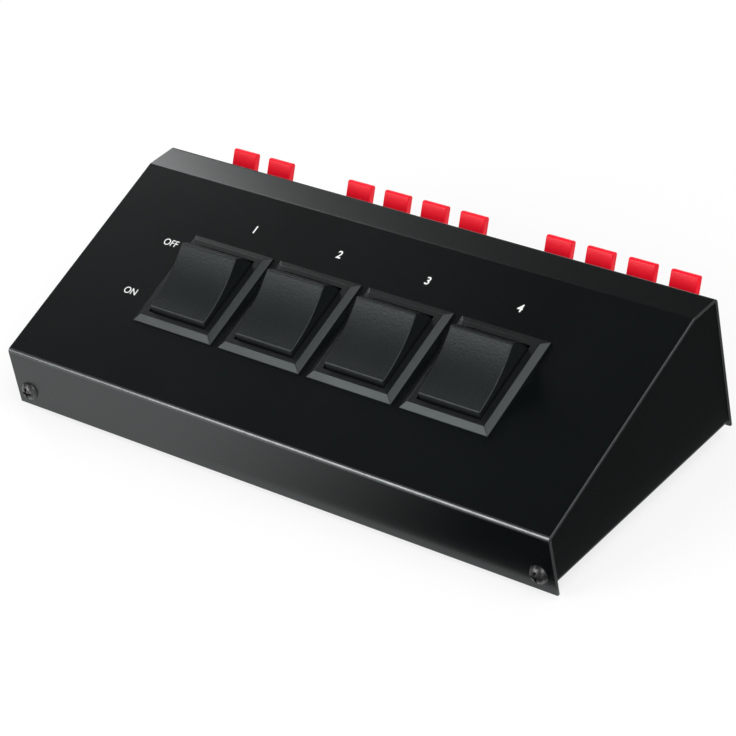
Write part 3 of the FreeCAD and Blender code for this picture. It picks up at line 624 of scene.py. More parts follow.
def model_tray(scene):
    """The tray: a wedge cut by the slope and hollowed out, with notched corners and screw tabs."""
    case = scene.selector_case
    low, high = case_box()
    outline = side_outline(case)
    inset = case.sheet + case.sheet_gap
    side = high.x - case.side_inset
    inner = side - case.sheet
    front, rear = low.y + inset, high.y - inset
    floor = floor_height()
    piece = add_box("tray_sheet", (-side, side), (front, rear), (floor, high.z - inset))
    with editing(piece):
        pick("EDGE", lambda a, b: abs(abs(a.x) - side) < MM and abs(abs(b.x) - side) < MM
             and a.x * b.x > 0 and max(a.z, b.z) < floor + MM)
        bpy.ops.mesh.bevel(offset=case.bend, offset_type="OFFSET", segments=6, affect="EDGES")
        bpy.ops.mesh.select_all(action="SELECT")
        slope = slope_angle(case)
        normal = Vector((0, -math.sin(slope), math.cos(slope)))
        on_slope = Vector((0, *outline[1])) - normal * inset
        bpy.ops.mesh.bisect(plane_co=on_slope, plane_no=normal, use_fill=True, clear_outer=True)
    past = 10 * MM
    y = (front - past, rear + past)
    cut(piece, [add_box("inside", (-inner, inner), y, (floor + case.sheet, high.z))])
    notches = []
    for x in ((-inner, case.relief - inner), (inner - case.relief, inner)):
        for y in ((front - past, front + case.relief), (rear - case.relief, rear + past)):
            notches.append(add_box("notch", x, y, (floor - past, floor + 2 * case.sheet)))
    cut(piece, notches)
    tabs = []
    rows = (((front, front + case.sheet), case.front_tab),
            ((rear - case.sheet, rear), case.rear_tab))
    for way in (-1, 1):
        for y, width in rows:
            x = sorted((way * inner, way * (inner - width)))
            tabs.append(add_box("tab", x, y, (floor, floor + case.tab_height)))
    for tab in tabs:
        round_edges(tab, case.cut_edge, segments=2)
    round_edges(piece, case.cut_edge, segments=2, sharper_than=70)
    piece = join([piece] + tabs)
    smooth(piece)
    return piece


# Rocker switches

def model_housing(scene):
    """A switch housing: sloped bezel, well, body, latches, pivot sockets and lug slots."""
    size = scene.selector_switch
    half_x, half_y = size.bezel_width / 2, size.bezel_length / 2
    well_x, well_y = size.rocker_width / 2 + size.well_gap, size.rocker_radius + size.well_gap
    body_x, body_y = well_x + size.wall, well_y + size.wall
    top, base, bottom = size.bezel_height, size.bezel_base, -size.depth
    well_floor = bottom + size.floor
    # Each new face starts from this narrow inset, and is then resized to its true size
    start = 0.3 * MM
    piece = add_box("bezel_housing", (-half_x, half_x), (-half_y, half_y), (0, base))
    with editing(piece):
        pick("FACE", lambda place, normal: normal.z > 0.9)
        extrude((0, 0, top - base))
        land_x, land_y = half_x - size.bezel_chamfer, half_y - size.bezel_chamfer
        resize(land_x / half_x, land_y / half_y, top)
        bpy.ops.mesh.inset(thickness=start)
        resize(well_x / (land_x - start), well_y / (land_y - start), top)
        extrude((0, 0, well_floor - top))
        pick("FACE", lambda place, normal: normal.z < -0.9 and abs(place.z) < 10 * NEAR)
        bpy.ops.mesh.inset(thickness=start)
        resize(body_x / (half_x - start), body_y / (half_y - start), 0)
        extrude((0, 0, bottom))
    round_edges(piece, size.bezel_edge, segments=3, sharper_than=20)
    slots = []
    for x in (-size.pole_offset, size.pole_offset):
        for y in (0, size.contact_offset):
            z = (bottom - MM, well_floor + MM)
            slot = add_box("slot", around(x, size.lug_width), around(y, size.lug_thickness), z)
            slots.append(slot)
    cut(piece, slots)
    socket = size.rocker_width / 2 + size.pivot_length + 2 * PLAY
    start, end = (-socket, 0, -size.pivot_depth), (socket, 0, -size.pivot_depth)
    cut(piece, [add_rod("socket", size.pivot_radius + PLAY, start, end)])
    latch_top = -scene.selector_case.sheet - scene.selector_case.sheet_gap
    added = []
    for way in (-1, 1):
        x = sorted((way * (body_x - size.wall / 2), way * (body_x + size.latch_reach)))
        z = (latch_top - size.latch_height, latch_top)
        latch = add_box("latch", x, around(0, size.latch_length), z)
        with editing(latch):
            pick("VERT", lambda place: place.z < latch_top - MM and abs(place.x) > body_x)
            bpy.ops.transform.translate(value=(-way * size.latch_reach, 0, 0))
        round_edges(latch, size.bezel_edge, segments=2)
        added.append(latch)
    rib_x = size.pole_offset + size.lug_width / 2
    rib = add_box("rib", (-rib_x, rib_x), around(-size.contact_offset, size.rib_thickness),
                  (well_floor - size.floor / 2, bottom + size.rib_height))
    piece = join([piece, rib] + added)
    smooth(piece, limit=30)
    return piece


def model_rocker(scene):
    """A rocker: its dished top and round ends are spun from one edge, then closed and hollowed."""
    size = scene.selector_switch
    steps = scene.selector_stage.steps
    half = size.rocker_width / 2
    chord = math.sqrt(size.rocker_radius ** 2 - size.rocker_rise ** 2)
    dish_radius = (chord ** 2 + size.rocker_dish ** 2) / (2 * size.rocker_dish)
    dish_turn = 2 * math.asin(chord / dish_radius)
    end_turn = math.atan2(size.rocker_rise, chord) + size.rocker_skirt
    dish_centre = (0, 0, size.rocker_rise - size.rocker_dish + dish_radius)
    low = -size.rocker_radius * math.sin(size.rocker_skirt)

    def rounded(a, b):
        """Says whether an edge is one of the top's two ends or along one of the sides."""
        at_end = a.y * b.y > 0 and min(abs(a.y), abs(b.y)) > chord - NEAR
        at_top = max(abs(a.z - size.rocker_rise), abs(b.z - size.rocker_rise)) < NEAR
        at_side = a.x * b.x > 0 and min(abs(a.x), abs(b.x)) > half - NEAR
        return (at_end and at_top) or (at_side and min(a.z, b.z) > low + NEAR)

    piece = add_edge("rocker_paddle", half, -chord, size.rocker_rise)
    with editing(piece):
        pick("EDGE", lambda a, b: True)
        spin(-dish_turn, dish_centre, steps)
        pick("EDGE", lambda a, b: min(a.y, b.y) > chord - NEAR)
        spin(end_turn, (0, 0, 0), steps)
        pick("EDGE", lambda a, b: max(a.y, b.y) < NEAR - chord)
        spin(-end_turn, (0, 0, 0), steps)
        pick("EDGE", lambda a, b: max(a.z, b.z) < low + NEAR)
        bpy.ops.mesh.edge_face_add()
        bpy.ops.mesh.select_all(action="SELECT")
        bpy.ops.mesh.fill_holes(sides=0)
    face_outwards(piece)
    with editing(piece):
        pick("FACE", lambda place, normal: normal.z < -0.9 and place.z < low + NEAR)
        bpy.ops.mesh.inset(thickness=size.wall)
        extrude((0, 0, size.ceiling - low))
        pick("EDGE", rounded)
        bpy.ops.mesh.bevel(offset=size.rocker_edge, offset_type="OFFSET", segments=5, affect="EDGES")
    added = []
    for way in (-1, 1):
        start = way * (half - size.wall)
        end = way * (half + size.pivot_length)
        added.append(add_rod("stub", size.pivot_radius, (start, 0, 0), (end, 0, 0)))
        boss = turned("boss", [(size.boss_radius, size.ceiling), (size.boss_radius, -size.boss_length),
                               (size.boss_bore, -size.boss_length), (size.boss_bore, size.ceiling - MM)])
        boss.data.transform(Matrix.Translation((way * size.pole_offset, 0, 0)))
        added.append(boss)
    piece = join([piece] + added)
    smooth(piece, limit=32)
    return piece


# Printed words and numbers

def print_text(scene, name, words, size, bold, x, along):
    """White ink on the slope, at a place given from the first switch's centre."""
    deselect()
    bpy.ops.object.text_add()
    text = bpy.context.object
    text.data.body = words
    text.data.size = size
    text.data.align_x = "CENTER"
    text.data.align_y = "CENTER"
    text.data.extrude = scene.selector_print.ink / 2
    text.data.offset = bold
    choose(text)
    bpy.ops.object.convert(target="MESH")
    piece = named(name)
    ink = Matrix.Translation((x, along, scene.selector_print.ink / 2))
    piece.data.transform(switch_place(scene, 1) @ ink)
    return piece


# Terminals

def model_lever(scene):
    """An upper terminal lever about its hinge: leaning finger tab, hub, pins, arm and foot."""
    size = scene.selector_terminal
    half = size.tab_width / 2
    tab = add_box("lever", (-half, half), (0, size.tab_thickness), (0, size.tab_reach))
    with editing(tab):
        pick("EDGE", lambda a, b: min(a.z, b.z) > size.tab_reach - NEAR and abs(a.y - b.y) < NEAR)
        bpy.ops.mesh.bevel(offset=size.tip_round, offset_type="OFFSET", segments=5, affect="EDGES")
    round_edges(tab, size.tab_edge, segments=4)
    tab.data.transform(Matrix.Rotation(-size.tab_lean, 4, "X"))
    hub = add_rod("hub", size.hub_radius, (-half, 0, 0), (half, 0, 0), sides=40)
    round_edges(hub, size.edge, segments=2)
    reach = half + size.pin_length
    pins = add_rod("pins", size.pin_radius, (-reach, 0, 0), (reach, 0, 0))
    top = size.arm_thickness / 2
    arm = add_box("arm", around(0, size.arm_width), (-size.arm_reach, 0), (-top, top))
    foot_y = (-size.arm_reach, size.foot_length - size.arm_reach)
    foot = add_box("foot", around(0, size.foot_width), foot_y, (-top - size.foot_drop, top))
    for part in (arm, foot):
        round_edges(part, size.edge, segments=2)
    lever = join([tab, hub, pins, arm, foot])
    smooth(lever)
    return lever


def model_leaf_spring(scene):
    """A leaf spring: a run along the pocket's roof, a fold, and a run down to the lever's arm."""
    size = scene.selector_terminal
    thickness = size.leaf_thickness
    hinge = joint_place("red_lever_1_press") - block_centre(BLOCKS[0])
    roof = size.pocket_roof - thickness
    step = 2 * thickness
    fold = step - size.leaf_back
    end = hinge.y - size.arm_reach + size.foot_length / 2
    arm = hinge.z + size.arm_thickness / 2 + thickness
    path = [(size.leaf_front, roof), (fold, roof), (-size.leaf_back, roof - step),
            (fold, roof - 2 * step), (end, arm)]
    piece = add_edge("leaf_spring", size.leaf_width / 2, *path[0])
    with editing(piece):
        pick("EDGE", lambda a, b: True)
        for (y, z), (next_y, next_z) in zip(path, path[1:]):
            extrude((0, next_y - y, next_z - z))
        pick("EDGE", lambda a, b: abs(a.y - b.y) < NEAR and a.y < fold + NEAR)
        bpy.ops.mesh.bevel(offset=0.8 * thickness, offset_type="OFFSET", segments=3, affect="EDGES")
    modify(piece, "SOLIDIFY", thickness=thickness, offset=1, use_even_offset=True)
    face_outwards(piece)
    smooth(piece)
    return piece


def model_block(scene, block):
    """A terminal block: body and flange, with a pocket, a sill and a wire hole for each lever."""
    size = scene.selector_terminal
    low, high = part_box(f"terminal_block_{block}")
    centre = block_centre(block)
    half_width = (high.x - low.x) / 2 - size.body_side
    inside = centre.y - low.y
    half, front = size.body_half, size.body_front
    body = add_box(f"terminal_body_{block}", (-half_width, half_width), (-inside, front), (-half, half))
    with editing(body):
        pick("EDGE", lambda a, b: min(a.y, b.y) > front - NEAR and abs(a.z - b.z) < NEAR)
        bpy.ops.mesh.bevel(offset=size.body_chamfer, offset_type="OFFSET", segments=1, affect="EDGES")
    flange_x, flange_z = (high.x - low.x) / 2, (high.z - low.z) / 2
    flange = add_box("flange", (-flange_x, flange_x), (0, size.flange), (-flange_z, flange_z))
    with editing(flange):
        pick("EDGE", lambda a, b: abs(a.x - b.x) < NEAR and abs(a.z - b.z) < NEAR)
        bpy.ops.mesh.bevel(offset=size.flange_corner, offset_type="OFFSET", segments=6, affect="EDGES")
    modify(body, "BOOLEAN", operation="UNION", solver="EXACT", object=flange)
    discard(flange)
    pocket = size.tab_width / 2 + size.pocket_gap
    sill = front - size.sill
    past = MM
    above = 0.1 * MM
    flare_radius = size.hole_radius + size.hole_flare + above
    hinge = joint_place("red_lever_1_press") - centre
    reach = pocket + size.pin_length - size.pocket_gap + 3 * PLAY
    rooms, mouths, holes, sockets, flares = [], [], [], [], []
    for x in lever_columns(block):
        x -= centre.x
        width = (x - pocket, x + pocket)
        for way in (-1, 1):
            room_z = sorted((way * size.pocket_floor, way * size.pocket_roof))
            rooms.append(add_box("room", width, (-size.pocket_back, sill), room_z))
            mouth_z = sorted((way * size.sill_height, way * size.pocket_roof))
            mouths.append(add_box("mouth", width, (sill - past, front + past), mouth_z))
            rise = way * size.hole_rise
            start, end = (x, sill - past, rise), (x, front + past, rise)
            holes.append(add_rod("hole", size.hole_radius, start, end, sides=32))
            start, end = (x, front - size.hole_flare, rise), (x, front + above, rise)
            flares.append(
                add_rod("flare", size.hole_radius, start, end, sides=32, end_radius=flare_radius)
            )
            start, end = (x - reach, hinge.y, way * hinge.z), (x + reach, hinge.y, way * hinge.z)
            sockets.append(add_rod("socket", size.pin_radius + PLAY, start, end))
    rivets = []
    for x in rivet_places(scene):
        if low.x < x < high.x:
            start, end = (x - centre.x, -past, 0), (x - centre.x, size.flange + past, 0)
            rivets.append(add_rod("hole", scene.selector_fastener.rivet_radius + PLAY, start, end))
    for cutters in (rooms, mouths, holes, sockets, flares, rivets):
        cut(body, cutters)
    round_edges(body, size.edge, segments=2)
    body.data.transform(Matrix.Translation(centre))
    smooth(body)
    return body


# Fasteners and feet

def dome(radius, height, steps=6, crown=0.05):
    """The (radius, height) steps of a round cap, up to a small flat crown."""
    ball = (radius ** 2 + height ** 2) / (2 * height)
    outline = []
    for i in range(steps):
        rise = height * math.sin(math.pi / 2 * i / steps)
        outline.append((math.sqrt(ball ** 2 - (ball - height + rise) ** 2), rise))
    return outline + [(crown * radius, height)]


def model_screw(scene):
    """A pan head screw with a cross slot, its head up the Z axis."""
    size = scene.selector_fastener
    shank = [(0.6 * size.screw_radius, -size.screw_length),
             (size.screw_radius, size.screw_point - size.screw_length), (size.screw_radius, 0)]
    piece = turned("screw", shank + dome(size.head_radius, size.head_height), sides=48)
    half, thin = size.slot_length / 2, size.slot_width / 2
    depth = (size.head_height - size.slot_depth, size.head_height + MM)
    cut(piece, [add_box("slot", (-half, half), (-thin, thin), depth)])
    cut(piece, [add_box("slot", (-thin, thin), (-half, half), depth)])
    round_edges(piece, size.slot_edge, segments=2, sharper_than=55)
    return piece


def model_rivet(scene):
    """A block rivet, its head up the Z axis and its tail behind the panel."""
    size = scene.selector_fastener
    grip = scene.selector_terminal.flange + scene.selector_case.sheet
    tail = [(size.rivet_head, -grip - size.rivet_height), (size.rivet_head, -grip),
            (size.rivet_radius, -grip), (size.rivet_radius, 0)]
    return turned("rivet", tail + dome(size.rivet_head, size.rivet_height))


def model_foot(scene):
    """A round rubber foot with a soft lower edge."""
    size = scene.selector_fastener
    edge = size.foot_edge
    outline = [(size.foot_radius - edge, 0)]
    for i in range(1, 5):
        turn = math.pi / 2 * i / 4
        outline.append((size.foot_radius - edge + edge * math.sin(turn), edge - edge * math.cos(turn)))
    outline.append((size.foot_radius, floor_height()))
    return turned("foot", outline, sides=48)


# Finishes

class Value:
    """A node's output that takes part in sums."""

    def __init__(self, finish, socket):
        self.finish = finish
        self.socket = socket

    def sum(self, operation, first, second):
        return self.finish.node("ShaderNodeMath", {"operation": operation}, {0: first, 1: second})

    def __add__(self, other):
        return self.sum("ADD", self, other)

    def __radd__(self, other):
        return self.sum("ADD", other, self)

    def __sub__(self, other):
        return self.sum("SUBTRACT", self, other)

    def __rsub__(self, other):
        return self.sum("SUBTRACT", other, self)

    def __mul__(self, other):
        return self.sum("MULTIPLY", self, other)

    def __rmul__(self, other):
        return self.sum("MULTIPLY", other, self)

    def capped(self):
        """The value, held to 1 at most."""
        return self.sum("MINIMUM", self, 1.0)


class Finish:
    """A material made of nodes that end in one Principled shader."""

    def __init__(self, name):
        self.material = bpy.data.materials.new(name)
        self.material.use_nodes = True
        self.tree = self.material.node_tree
        self.tree.nodes.clear()
        self.place = self.node("ShaderNodeTexCoord", output="Object")

    def node(self, kind, settings=None, sockets=None, output=0):
        """Adds a node, with its settings and its sockets' values or links, and returns one output."""
        made = self.tree.nodes.new(kind)
        for key, value in (settings or {}).items():
            setattr(made, key, value)
        for key, value in (sockets or {}).items():
            if isinstance(value, Value):
                self.tree.links.new(value.socket, made.inputs[key])
            else:
                made.inputs[key].default_value = value
        return Value(self, made.outputs[output])

    def noise(self, scale, detail=3.0, roughness=0.5, place=None):
        """Cloudy noise from 0 to 1; the scale is in features per metre."""
        sockets = {"Vector": place or self.place, "Scale": scale}
        sockets |= {"Detail": detail, "Roughness": roughness}
        return self.node("ShaderNodeTexNoise", {}, sockets)

    def cells(self, scale):
        """Distance to the nearest of many scattered points."""
        return self.node("ShaderNodeTexVoronoi", {}, {"Vector": self.place, "Scale": scale})

    def spread(self, value, low, high, to_low=0.0, to_high=1.0):
        """Maps one range of a value smoothly to another."""
        sockets = {"Value": value, "From Min": low, "From Max": high}
        sockets |= {"To Min": to_low, "To Max": to_high}
        return self.node("ShaderNodeMapRange", {"interpolation_type": "SMOOTHSTEP"}, sockets)

    def blend(self, share, first, second):
        """Mixes two colours by a share from 0 to 1."""
        settings = {"data_type": "RGBA"}
        return self.node("ShaderNodeMix", settings, {"Factor": share, 6: first, 7: second}, output=2)

    def bump(self, height, depth, strength=1.0):
        """A bump whose height of 0 to 1 is a depth in metres."""
        sockets = {"Height": height, "Distance": depth, "Strength": strength}
        return self.node("ShaderNodeBump", {}, sockets)

    def surface(self, shader):
        """Ends the material in a shader."""
        output = self.tree.nodes.new("ShaderNodeOutputMaterial")
        self.tree.links.new(shader.socket, output.inputs["Surface"])
        return self.material

    def finish(self, **sockets):
        """Ends the material in a Principled shader with these inputs."""
        names = {key: key.replace("_", " ").title().replace("Ior", "IOR") for key in sockets}
        inputs = {names[key]: value for key, value in sockets.items()}
        return self.surface(self.node("ShaderNodeBsdfPrincipled", {}, inputs))


COOL = (0.90, 1.0, 1.0, 1.0)  # Tint of the gloss on black paint and plastic
DUST = (0.05, 0.052, 0.05, 1.0)
# Colour of the painted highlight on the case's folds and cut edges
PAINTED_SHEEN = (0.115, 0.12, 0.122, 1.0)
RUBBER_BLOOM = (0.06, 0.058, 0.055, 1.0)
BLACK_OXIDE = (0.055, 0.055, 0.057, 1.0)
RUBBED_OXIDE = (0.19, 0.19, 0.195, 1.0)


def shade(rgba, factor):
    """A colour made lighter or darker."""
    return [channel * factor for channel in rgba[:3]] + [1.0]


def painted_steel(scene, name):
    """Satin black paint: fine orange peel, a little dust, and a painted highlight, a lighter metallic
    sheen, on the folds and cut edges.
    """
    paint = scene.selector_colours.paint
    finish = Finish(name)
    peel = finish.noise(700, detail=2)
    grain = finish.noise(5200, detail=2)
    cloud = finish.noise(22, detail=4)
    dust = finish.spread(finish.cells(240), 0.06, 0.02) * finish.spread(finish.noise(55), 0.55, 0.75)
    # Painted highlight: the folds and cut edges get a lighter, metallic colour that shines, broken up in
    # patches
    patchy = finish.spread(finish.noise(260, detail=4, roughness=0.6), 0.3, 0.7, to_low=0.8)
    painted_sheen = patchy * edge_share(scene, finish)
    base = finish.blend(cloud, shade(paint, 0.8), shade(paint, 1.25))
    dusty = finish.blend(dust * 0.3, base, DUST)
    # The painted highlight colour is blended in on the folds and cut edges
    sheened = finish.blend(painted_sheen, dusty, PAINTED_SHEEN)
    roughness = 0.21 + 0.04 * cloud + 0.05 * grain - 0.03 * painted_sheen
    normal = finish.bump(0.8 * peel + 0.2 * grain, 0.006 * MM, 0.6)
    return finish.finish(base_color=sheened, metallic=0.85 * painted_sheen, roughness=roughness,
                         specular_tint=COOL, normal=normal)


def edge_share(scene, finish):
    """1 on the case's sharp folds and along its cut side edges, where the paint carries its painted
    highlight, and 0 away from them.
    """
    along = finish.node("ShaderNodeSeparateXYZ", {}, {0: finish.place})
    across = Value(finish, along.socket.node.outputs["Y"])
    height = Value(finish, along.socket.node.outputs["Z"])
    flat = finish.node("ShaderNodeCombineXYZ", {}, {"Y": across, "Z": height})
    side = case_box()[1].x
    edge_sheen_reach = (side - 0.28 * MM, side - 0.1 * MM)
    fold_sheen_reach = (1.1 * MM, 0.5 * MM)
    reach = finish.node("ShaderNodeMath", {"operation": "ABSOLUTE"}, {0: along})
    share = 0.7 * finish.spread(reach, *edge_sheen_reach)
    outline = side_outline(scene.selector_case)
    for y, z in (outline[1], outline[3]):
        sockets = {0: flat, 1: (0, y, z)}
        away = finish.node("ShaderNodeVectorMath", {"operation": "DISTANCE"}, sockets, output="Value")
        share = share + finish.spread(away, *fold_sheen_reach)
    return share.capped()


def moulded_plastic(name, rgba, roughness, grain_scale, grain_depth, polish=0.06):
    """Black or coloured moulded plastic with a fine grain, faint flow clouds and a few scratches."""
    finish = Finish(name)
    cloud = finish.noise(60, detail=4)
    grain = finish.noise(grain_scale, detail=2, roughness=0.6)
    pits = finish.cells(grain_scale * 0.8)
    scratch = finish.spread(finish.noise(260, detail=6, roughness=0.8), 0.66, 0.70)
    base = finish.blend(cloud, shade(rgba, 0.85), shade(rgba, 1.12))
    rough = (roughness - polish) + 2 * polish * cloud + 0.05 * grain - 0.04 * scratch
    height = 0.6 * grain + 0.4 * pits
    normal = finish.bump(height, grain_depth, 0.7)
    return finish.finish(base_color=base, roughness=rough, specular_tint=COOL, normal=normal)


def red_plastic(scene, name):
    """Glossy red plastic with a soft mould haze and handling marks."""
    red = scene.selector_colours.red
    finish = Finish(name)
    cloud = finish.noise(150, detail=3)
    marks = finish.spread(finish.noise(900, detail=5, roughness=0.75), 0.6, 0.75)
    base = finish.blend(cloud, shade(red, 0.88), shade(red, 1.06))
    dull = finish.blend(marks * 0.12, base, shade(red, 0.55))
    roughness = 0.26 + 0.08 * cloud + 0.10 * marks
    height = finish.noise(420, detail=2) + 0.3 * marks
    normal = finish.bump(height, 0.012 * MM, 0.5)
    return finish.finish(base_color=dull, roughness=roughness, specular_ior_level=0.22, normal=normal)


def metal(name, rgba, roughness, stain, lines=900):
    """Bare or plated metal with drawn lines and a thin stain."""
    finish = Finish(name)
    sockets = {0: finish.place, 1: (1, 0.08, 0.08)}
    stretched = finish.node("ShaderNodeVectorMath", {"operation": "MULTIPLY"}, sockets)
    drawn = finish.noise(lines, detail=4, place=stretched)
    patches = finish.spread(finish.noise(240, detail=4), 0.45, 0.7)
    base = finish.blend(patches * 0.6, rgba, stain)
    rough = roughness + 0.15 * drawn + 0.12 * patches
    normal = finish.bump(drawn, 0.008 * MM, 0.5)
    return finish.finish(base_color=base, metallic=1.0, roughness=rough, normal=normal)


def screw_finish(name):
    """Black oxide over steel, rubbed brighter on high spots."""
    finish = Finish(name)
    patches = finish.spread(finish.noise(900, detail=5, roughness=0.7), 0.48, 0.70)
    base = finish.blend(patches, BLACK_OXIDE, RUBBED_OXIDE)
    rough = 0.36 - 0.10 * patches
    normal = finish.bump(finish.noise(2500), 0.01 * MM, 0.5)
    return finish.finish(base_color=base, metallic=0.75, roughness=rough, normal=normal)


def rubber_finish(scene, name):
    """Matt black rubber with a dusty bloom."""
    finish = Finish(name)
    bloom = finish.spread(finish.noise(380, detail=5), 0.5, 0.8)
    base = finish.blend(bloom * 0.5, scene.selector_colours.rubber, RUBBER_BLOOM)
    rough = 0.72 + 0.15 * finish.noise(1500)
    normal = finish.bump(finish.noise(2600), 0.03 * MM, 0.6)
    return finish.finish(base_color=base, roughness=rough, normal=normal)


def ink_finish(scene, name):
    """White screen print, slightly thin in places."""
    ink = scene.selector_colours.ink
    finish = Finish(name)
    thin = finish.spread(finish.noise(2600, detail=4), 0.5, 0.85)
    base = finish.blend(thin * 0.35, ink, shade(ink, 0.72))
    normal = finish.bump(thin, 0.004 * MM, 0.4)
    return finish.finish(base_color=base, roughness=0.5 + 0.1 * thin, normal=normal)


def spring_steel():
    """Bright drawn spring steel, shared by all the springs."""
    name = "drawn spring steel"
    made = bpy.data.materials.get(name)
    return made or metal(name, (0.50, 0.50, 0.51, 1.0), roughness=0.28, stain=(0.26, 0.24, 0.22, 1.0))


def sheath(name, rgba):
    """Soft plastic wire covering."""
    return moulded_plastic(name, rgba, roughness=0.42, grain_scale=1800, grain_depth=0.012 * MM)


# Operators

class SELECTOR_OT_case(bpy.types.Operator):
    """Models and paints the steel cover and tray"""

    bl_idname = "selector.steel_case"
    bl_label = "Steel case"

    def execute(self, context):
        paint = painted_steel(context.scene, "satin black paint")
        dress(model_cover(context.scene), paint, "black_paint", "case", "wrap_cover")
        dress(model_tray(context.scene), paint, "black_paint", "case", "base_tray")
        return {"FINISHED"}


class SELECTOR_OT_housings(bpy.types.Operator):
    """Models the four switch housings with their bezels"""

    bl_idname = "selector.housings"
    bl_label = "Switch housings"

    def execute(self, context):
        scene = context.scene
        finish = moulded_plastic("bezel plastic", scene.selector_colours.bezel,
                                 roughness=0.36, grain_scale=1900, grain_depth=0.03 * MM)
        model = model_housing(scene)
        for number in SWITCHES:
            piece = copy_to(model, f"bezel_housing_{number}", switch_place(scene, number))
            dress(piece, finish, "black_gloss_plastic", "case", f"switch_housing_{number}")
        discard(model)
        return {"FINISHED"}


class SELECTOR_OT_rockers(bpy.types.Operator):
    """Models the four dished rockers, each with its near end pressed"""

    bl_idname = "selector.rockers"
    bl_label = "Rockers"

    def execute(self, context):
        scene = context.scene
        size = scene.selector_switch
        finish = moulded_plastic("rocker plastic", scene.selector_colours.rocker,
                                 roughness=0.43, grain_scale=1600, grain_depth=0.09 * MM)
        model = model_rocker(scene)
        down = Matrix.Translation((0, 0, -size.pivot_depth)) @ Matrix.Rotation(size.rocker_tilt, 4, "X")
        for number in SWITCHES:
            piece = copy_to(model, f"rocker_paddle_{number}", switch_place(scene, number) @ down)
            dress(piece, finish, "black_matte_plastic", f"rocker_{number}", f"rocker_{number}")
        discard(model)
        return {"FINISHED"}


class SELECTOR_OT_print(bpy.types.Operator):
    """Prints OFF, ON and the switch numbers on the slope"""

    bl_idname = "selector.print"
    bl_label = "Printed words and numbers"

    def execute(self, context):
        scene = context.scene
        size = scene.selector_print
        finish = ink_finish(scene, "white ink")
        texts = [("print_off", "OFF", size.word_size, 0.0, -size.off_left, size.off_along),
                 ("print_on", "ON", size.word_size, 0.0, -size.on_left, -size.on_down)]
        for number in SWITCHES:
            x = size.number_side + (number - 1) * size.number_pitch
            look = (size.number_size, size.bold)
            texts.append((f"print_{number}", str(number), *look, x, size.number_along))
        for name, *text in texts:
            dress(print_text(scene, name, *text), finish, None, "case")
        return {"FINISHED"}


class SELECTOR_OT_levers(bpy.types.Operator):
    """Models the red levers and the black levers below them"""

    bl_idname = "selector.levers"
    bl_label = "Terminal levers"

    def execute(self, context):
        scene = context.scene
        black = moulded_plastic("black lever plastic", scene.selector_colours.black,
                                roughness=0.28, grain_scale=900, grain_depth=0.01 * MM)
        finishes = {"red": (red_plastic(scene, "red lever plastic"), "red_plastic"),
                    "black": (black, "black_lever_plastic")}
        model = model_lever(scene)
        for kind, (finish, slot) in finishes.items():
            for number in LEVERS:
                lever = f"{kind}_lever_{number}"
                place = Matrix.Translation(joint_place(f"{lever}_press"))
                piece = copy_to(model, f"{kind}_tab_{number}", place @ lever_turn(kind))
                dress(piece, finish, slot, lever, lever)
        discard(model)
        return {"FINISHED"}


class SELECTOR_OT_leaf_springs(bpy.types.Operator):
    """Models a leaf spring above or below each lever"""

    bl_idname = "selector.leaf_springs"
    bl_label = "Leaf springs"

    def execute(self, context):
        finish = spring_steel()
        model = model_leaf_spring(context.scene)
        for kind, way in (("red", 1), ("black", -1)):
            for number in LEVERS:
                joint = f"{kind}_lever_{number}_press"
                block = lever_block(joint_place(joint).x)
                centre = block_centre(block)
                centre.x = joint_place(joint).x
                place = Matrix.Translation(centre) @ lever_turn(kind)
                piece = copy_to(model, f"leaf_spring_{kind}_{number}", place)
                dress(piece, finish, "spring_steel", "case", f"leaf_springs_{block}")
                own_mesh(piece)
        discard(model)
        return {"FINISHED"}


class SELECTOR_OT_blocks(bpy.types.Operator):
    """Models the three terminal blocks on the rear panel"""

    bl_idname = "selector.blocks"
    bl_label = "Terminal blocks"

    def execute(self, context):
        finish = moulded_plastic("block plastic", context.scene.selector_colours.block,
                                 roughness=0.42, grain_scale=3800, grain_depth=0.012 * MM)
        for block in BLOCKS:
            piece = model_block(context.scene, block)
            dress(piece, finish, "terminal_plastic", "case", f"terminal_block_{block}")
        return {"FINISHED"}


class SELECTOR_OT_fasteners(bpy.types.Operator):
    """Models the case screws and the block rivets"""

    bl_idname = "selector.fasteners"
    bl_label = "Screws and rivets"

    def execute(self, context):
        scene = context.scene
        screws = gather("cross_head_screws", model_screw(scene), screw_places(scene))
        dress(screws, screw_finish("black oxide screw"), "screw_black", "case", "case_screws")
        face = case_box()[1].y + scene.selector_terminal.flange
        middle = block_centre(BLOCKS[0]).z
        turn = Matrix.Rotation(-math.pi / 2, 4, "X")
        places = [Matrix.Translation((x, face, middle)) @ turn for x in rivet_places(scene)]
        rivets = gather("domed_rivets", model_rivet(scene), places)
        aluminium = metal("rivet aluminium", (0.62, 0.63, 0.64, 1.0),
                          roughness=0.28, stain=(0.42, 0.42, 0.42, 1.0))
        dress(rivets, aluminium, "rivet_aluminium", "case", "block_rivets")
        return {"FINISHED"}


class SELECTOR_OT_feet(bpy.types.Operator):
    """Models the four rubber feet"""

    bl_idname = "selector.feet"
    bl_label = "Rubber feet"

    def execute(self, context):
        scene = context.scene
        size = scene.selector_fastener
        low, high = case_box()
        places = []
        for x in (low.x + size.foot_inset_x, high.x - size.foot_inset_x):
            for y in (low.y + size.foot_inset_y, high.y - size.foot_inset_y):
                places.append(Matrix.Translation((x, y, 0)))
        feet = gather("round_feet", model_foot(scene), places)
        dress(feet, rubber_finish(scene, "foot rubber"), "foot_rubber", "case", "rubber_feet")
        return {"FINISHED"}


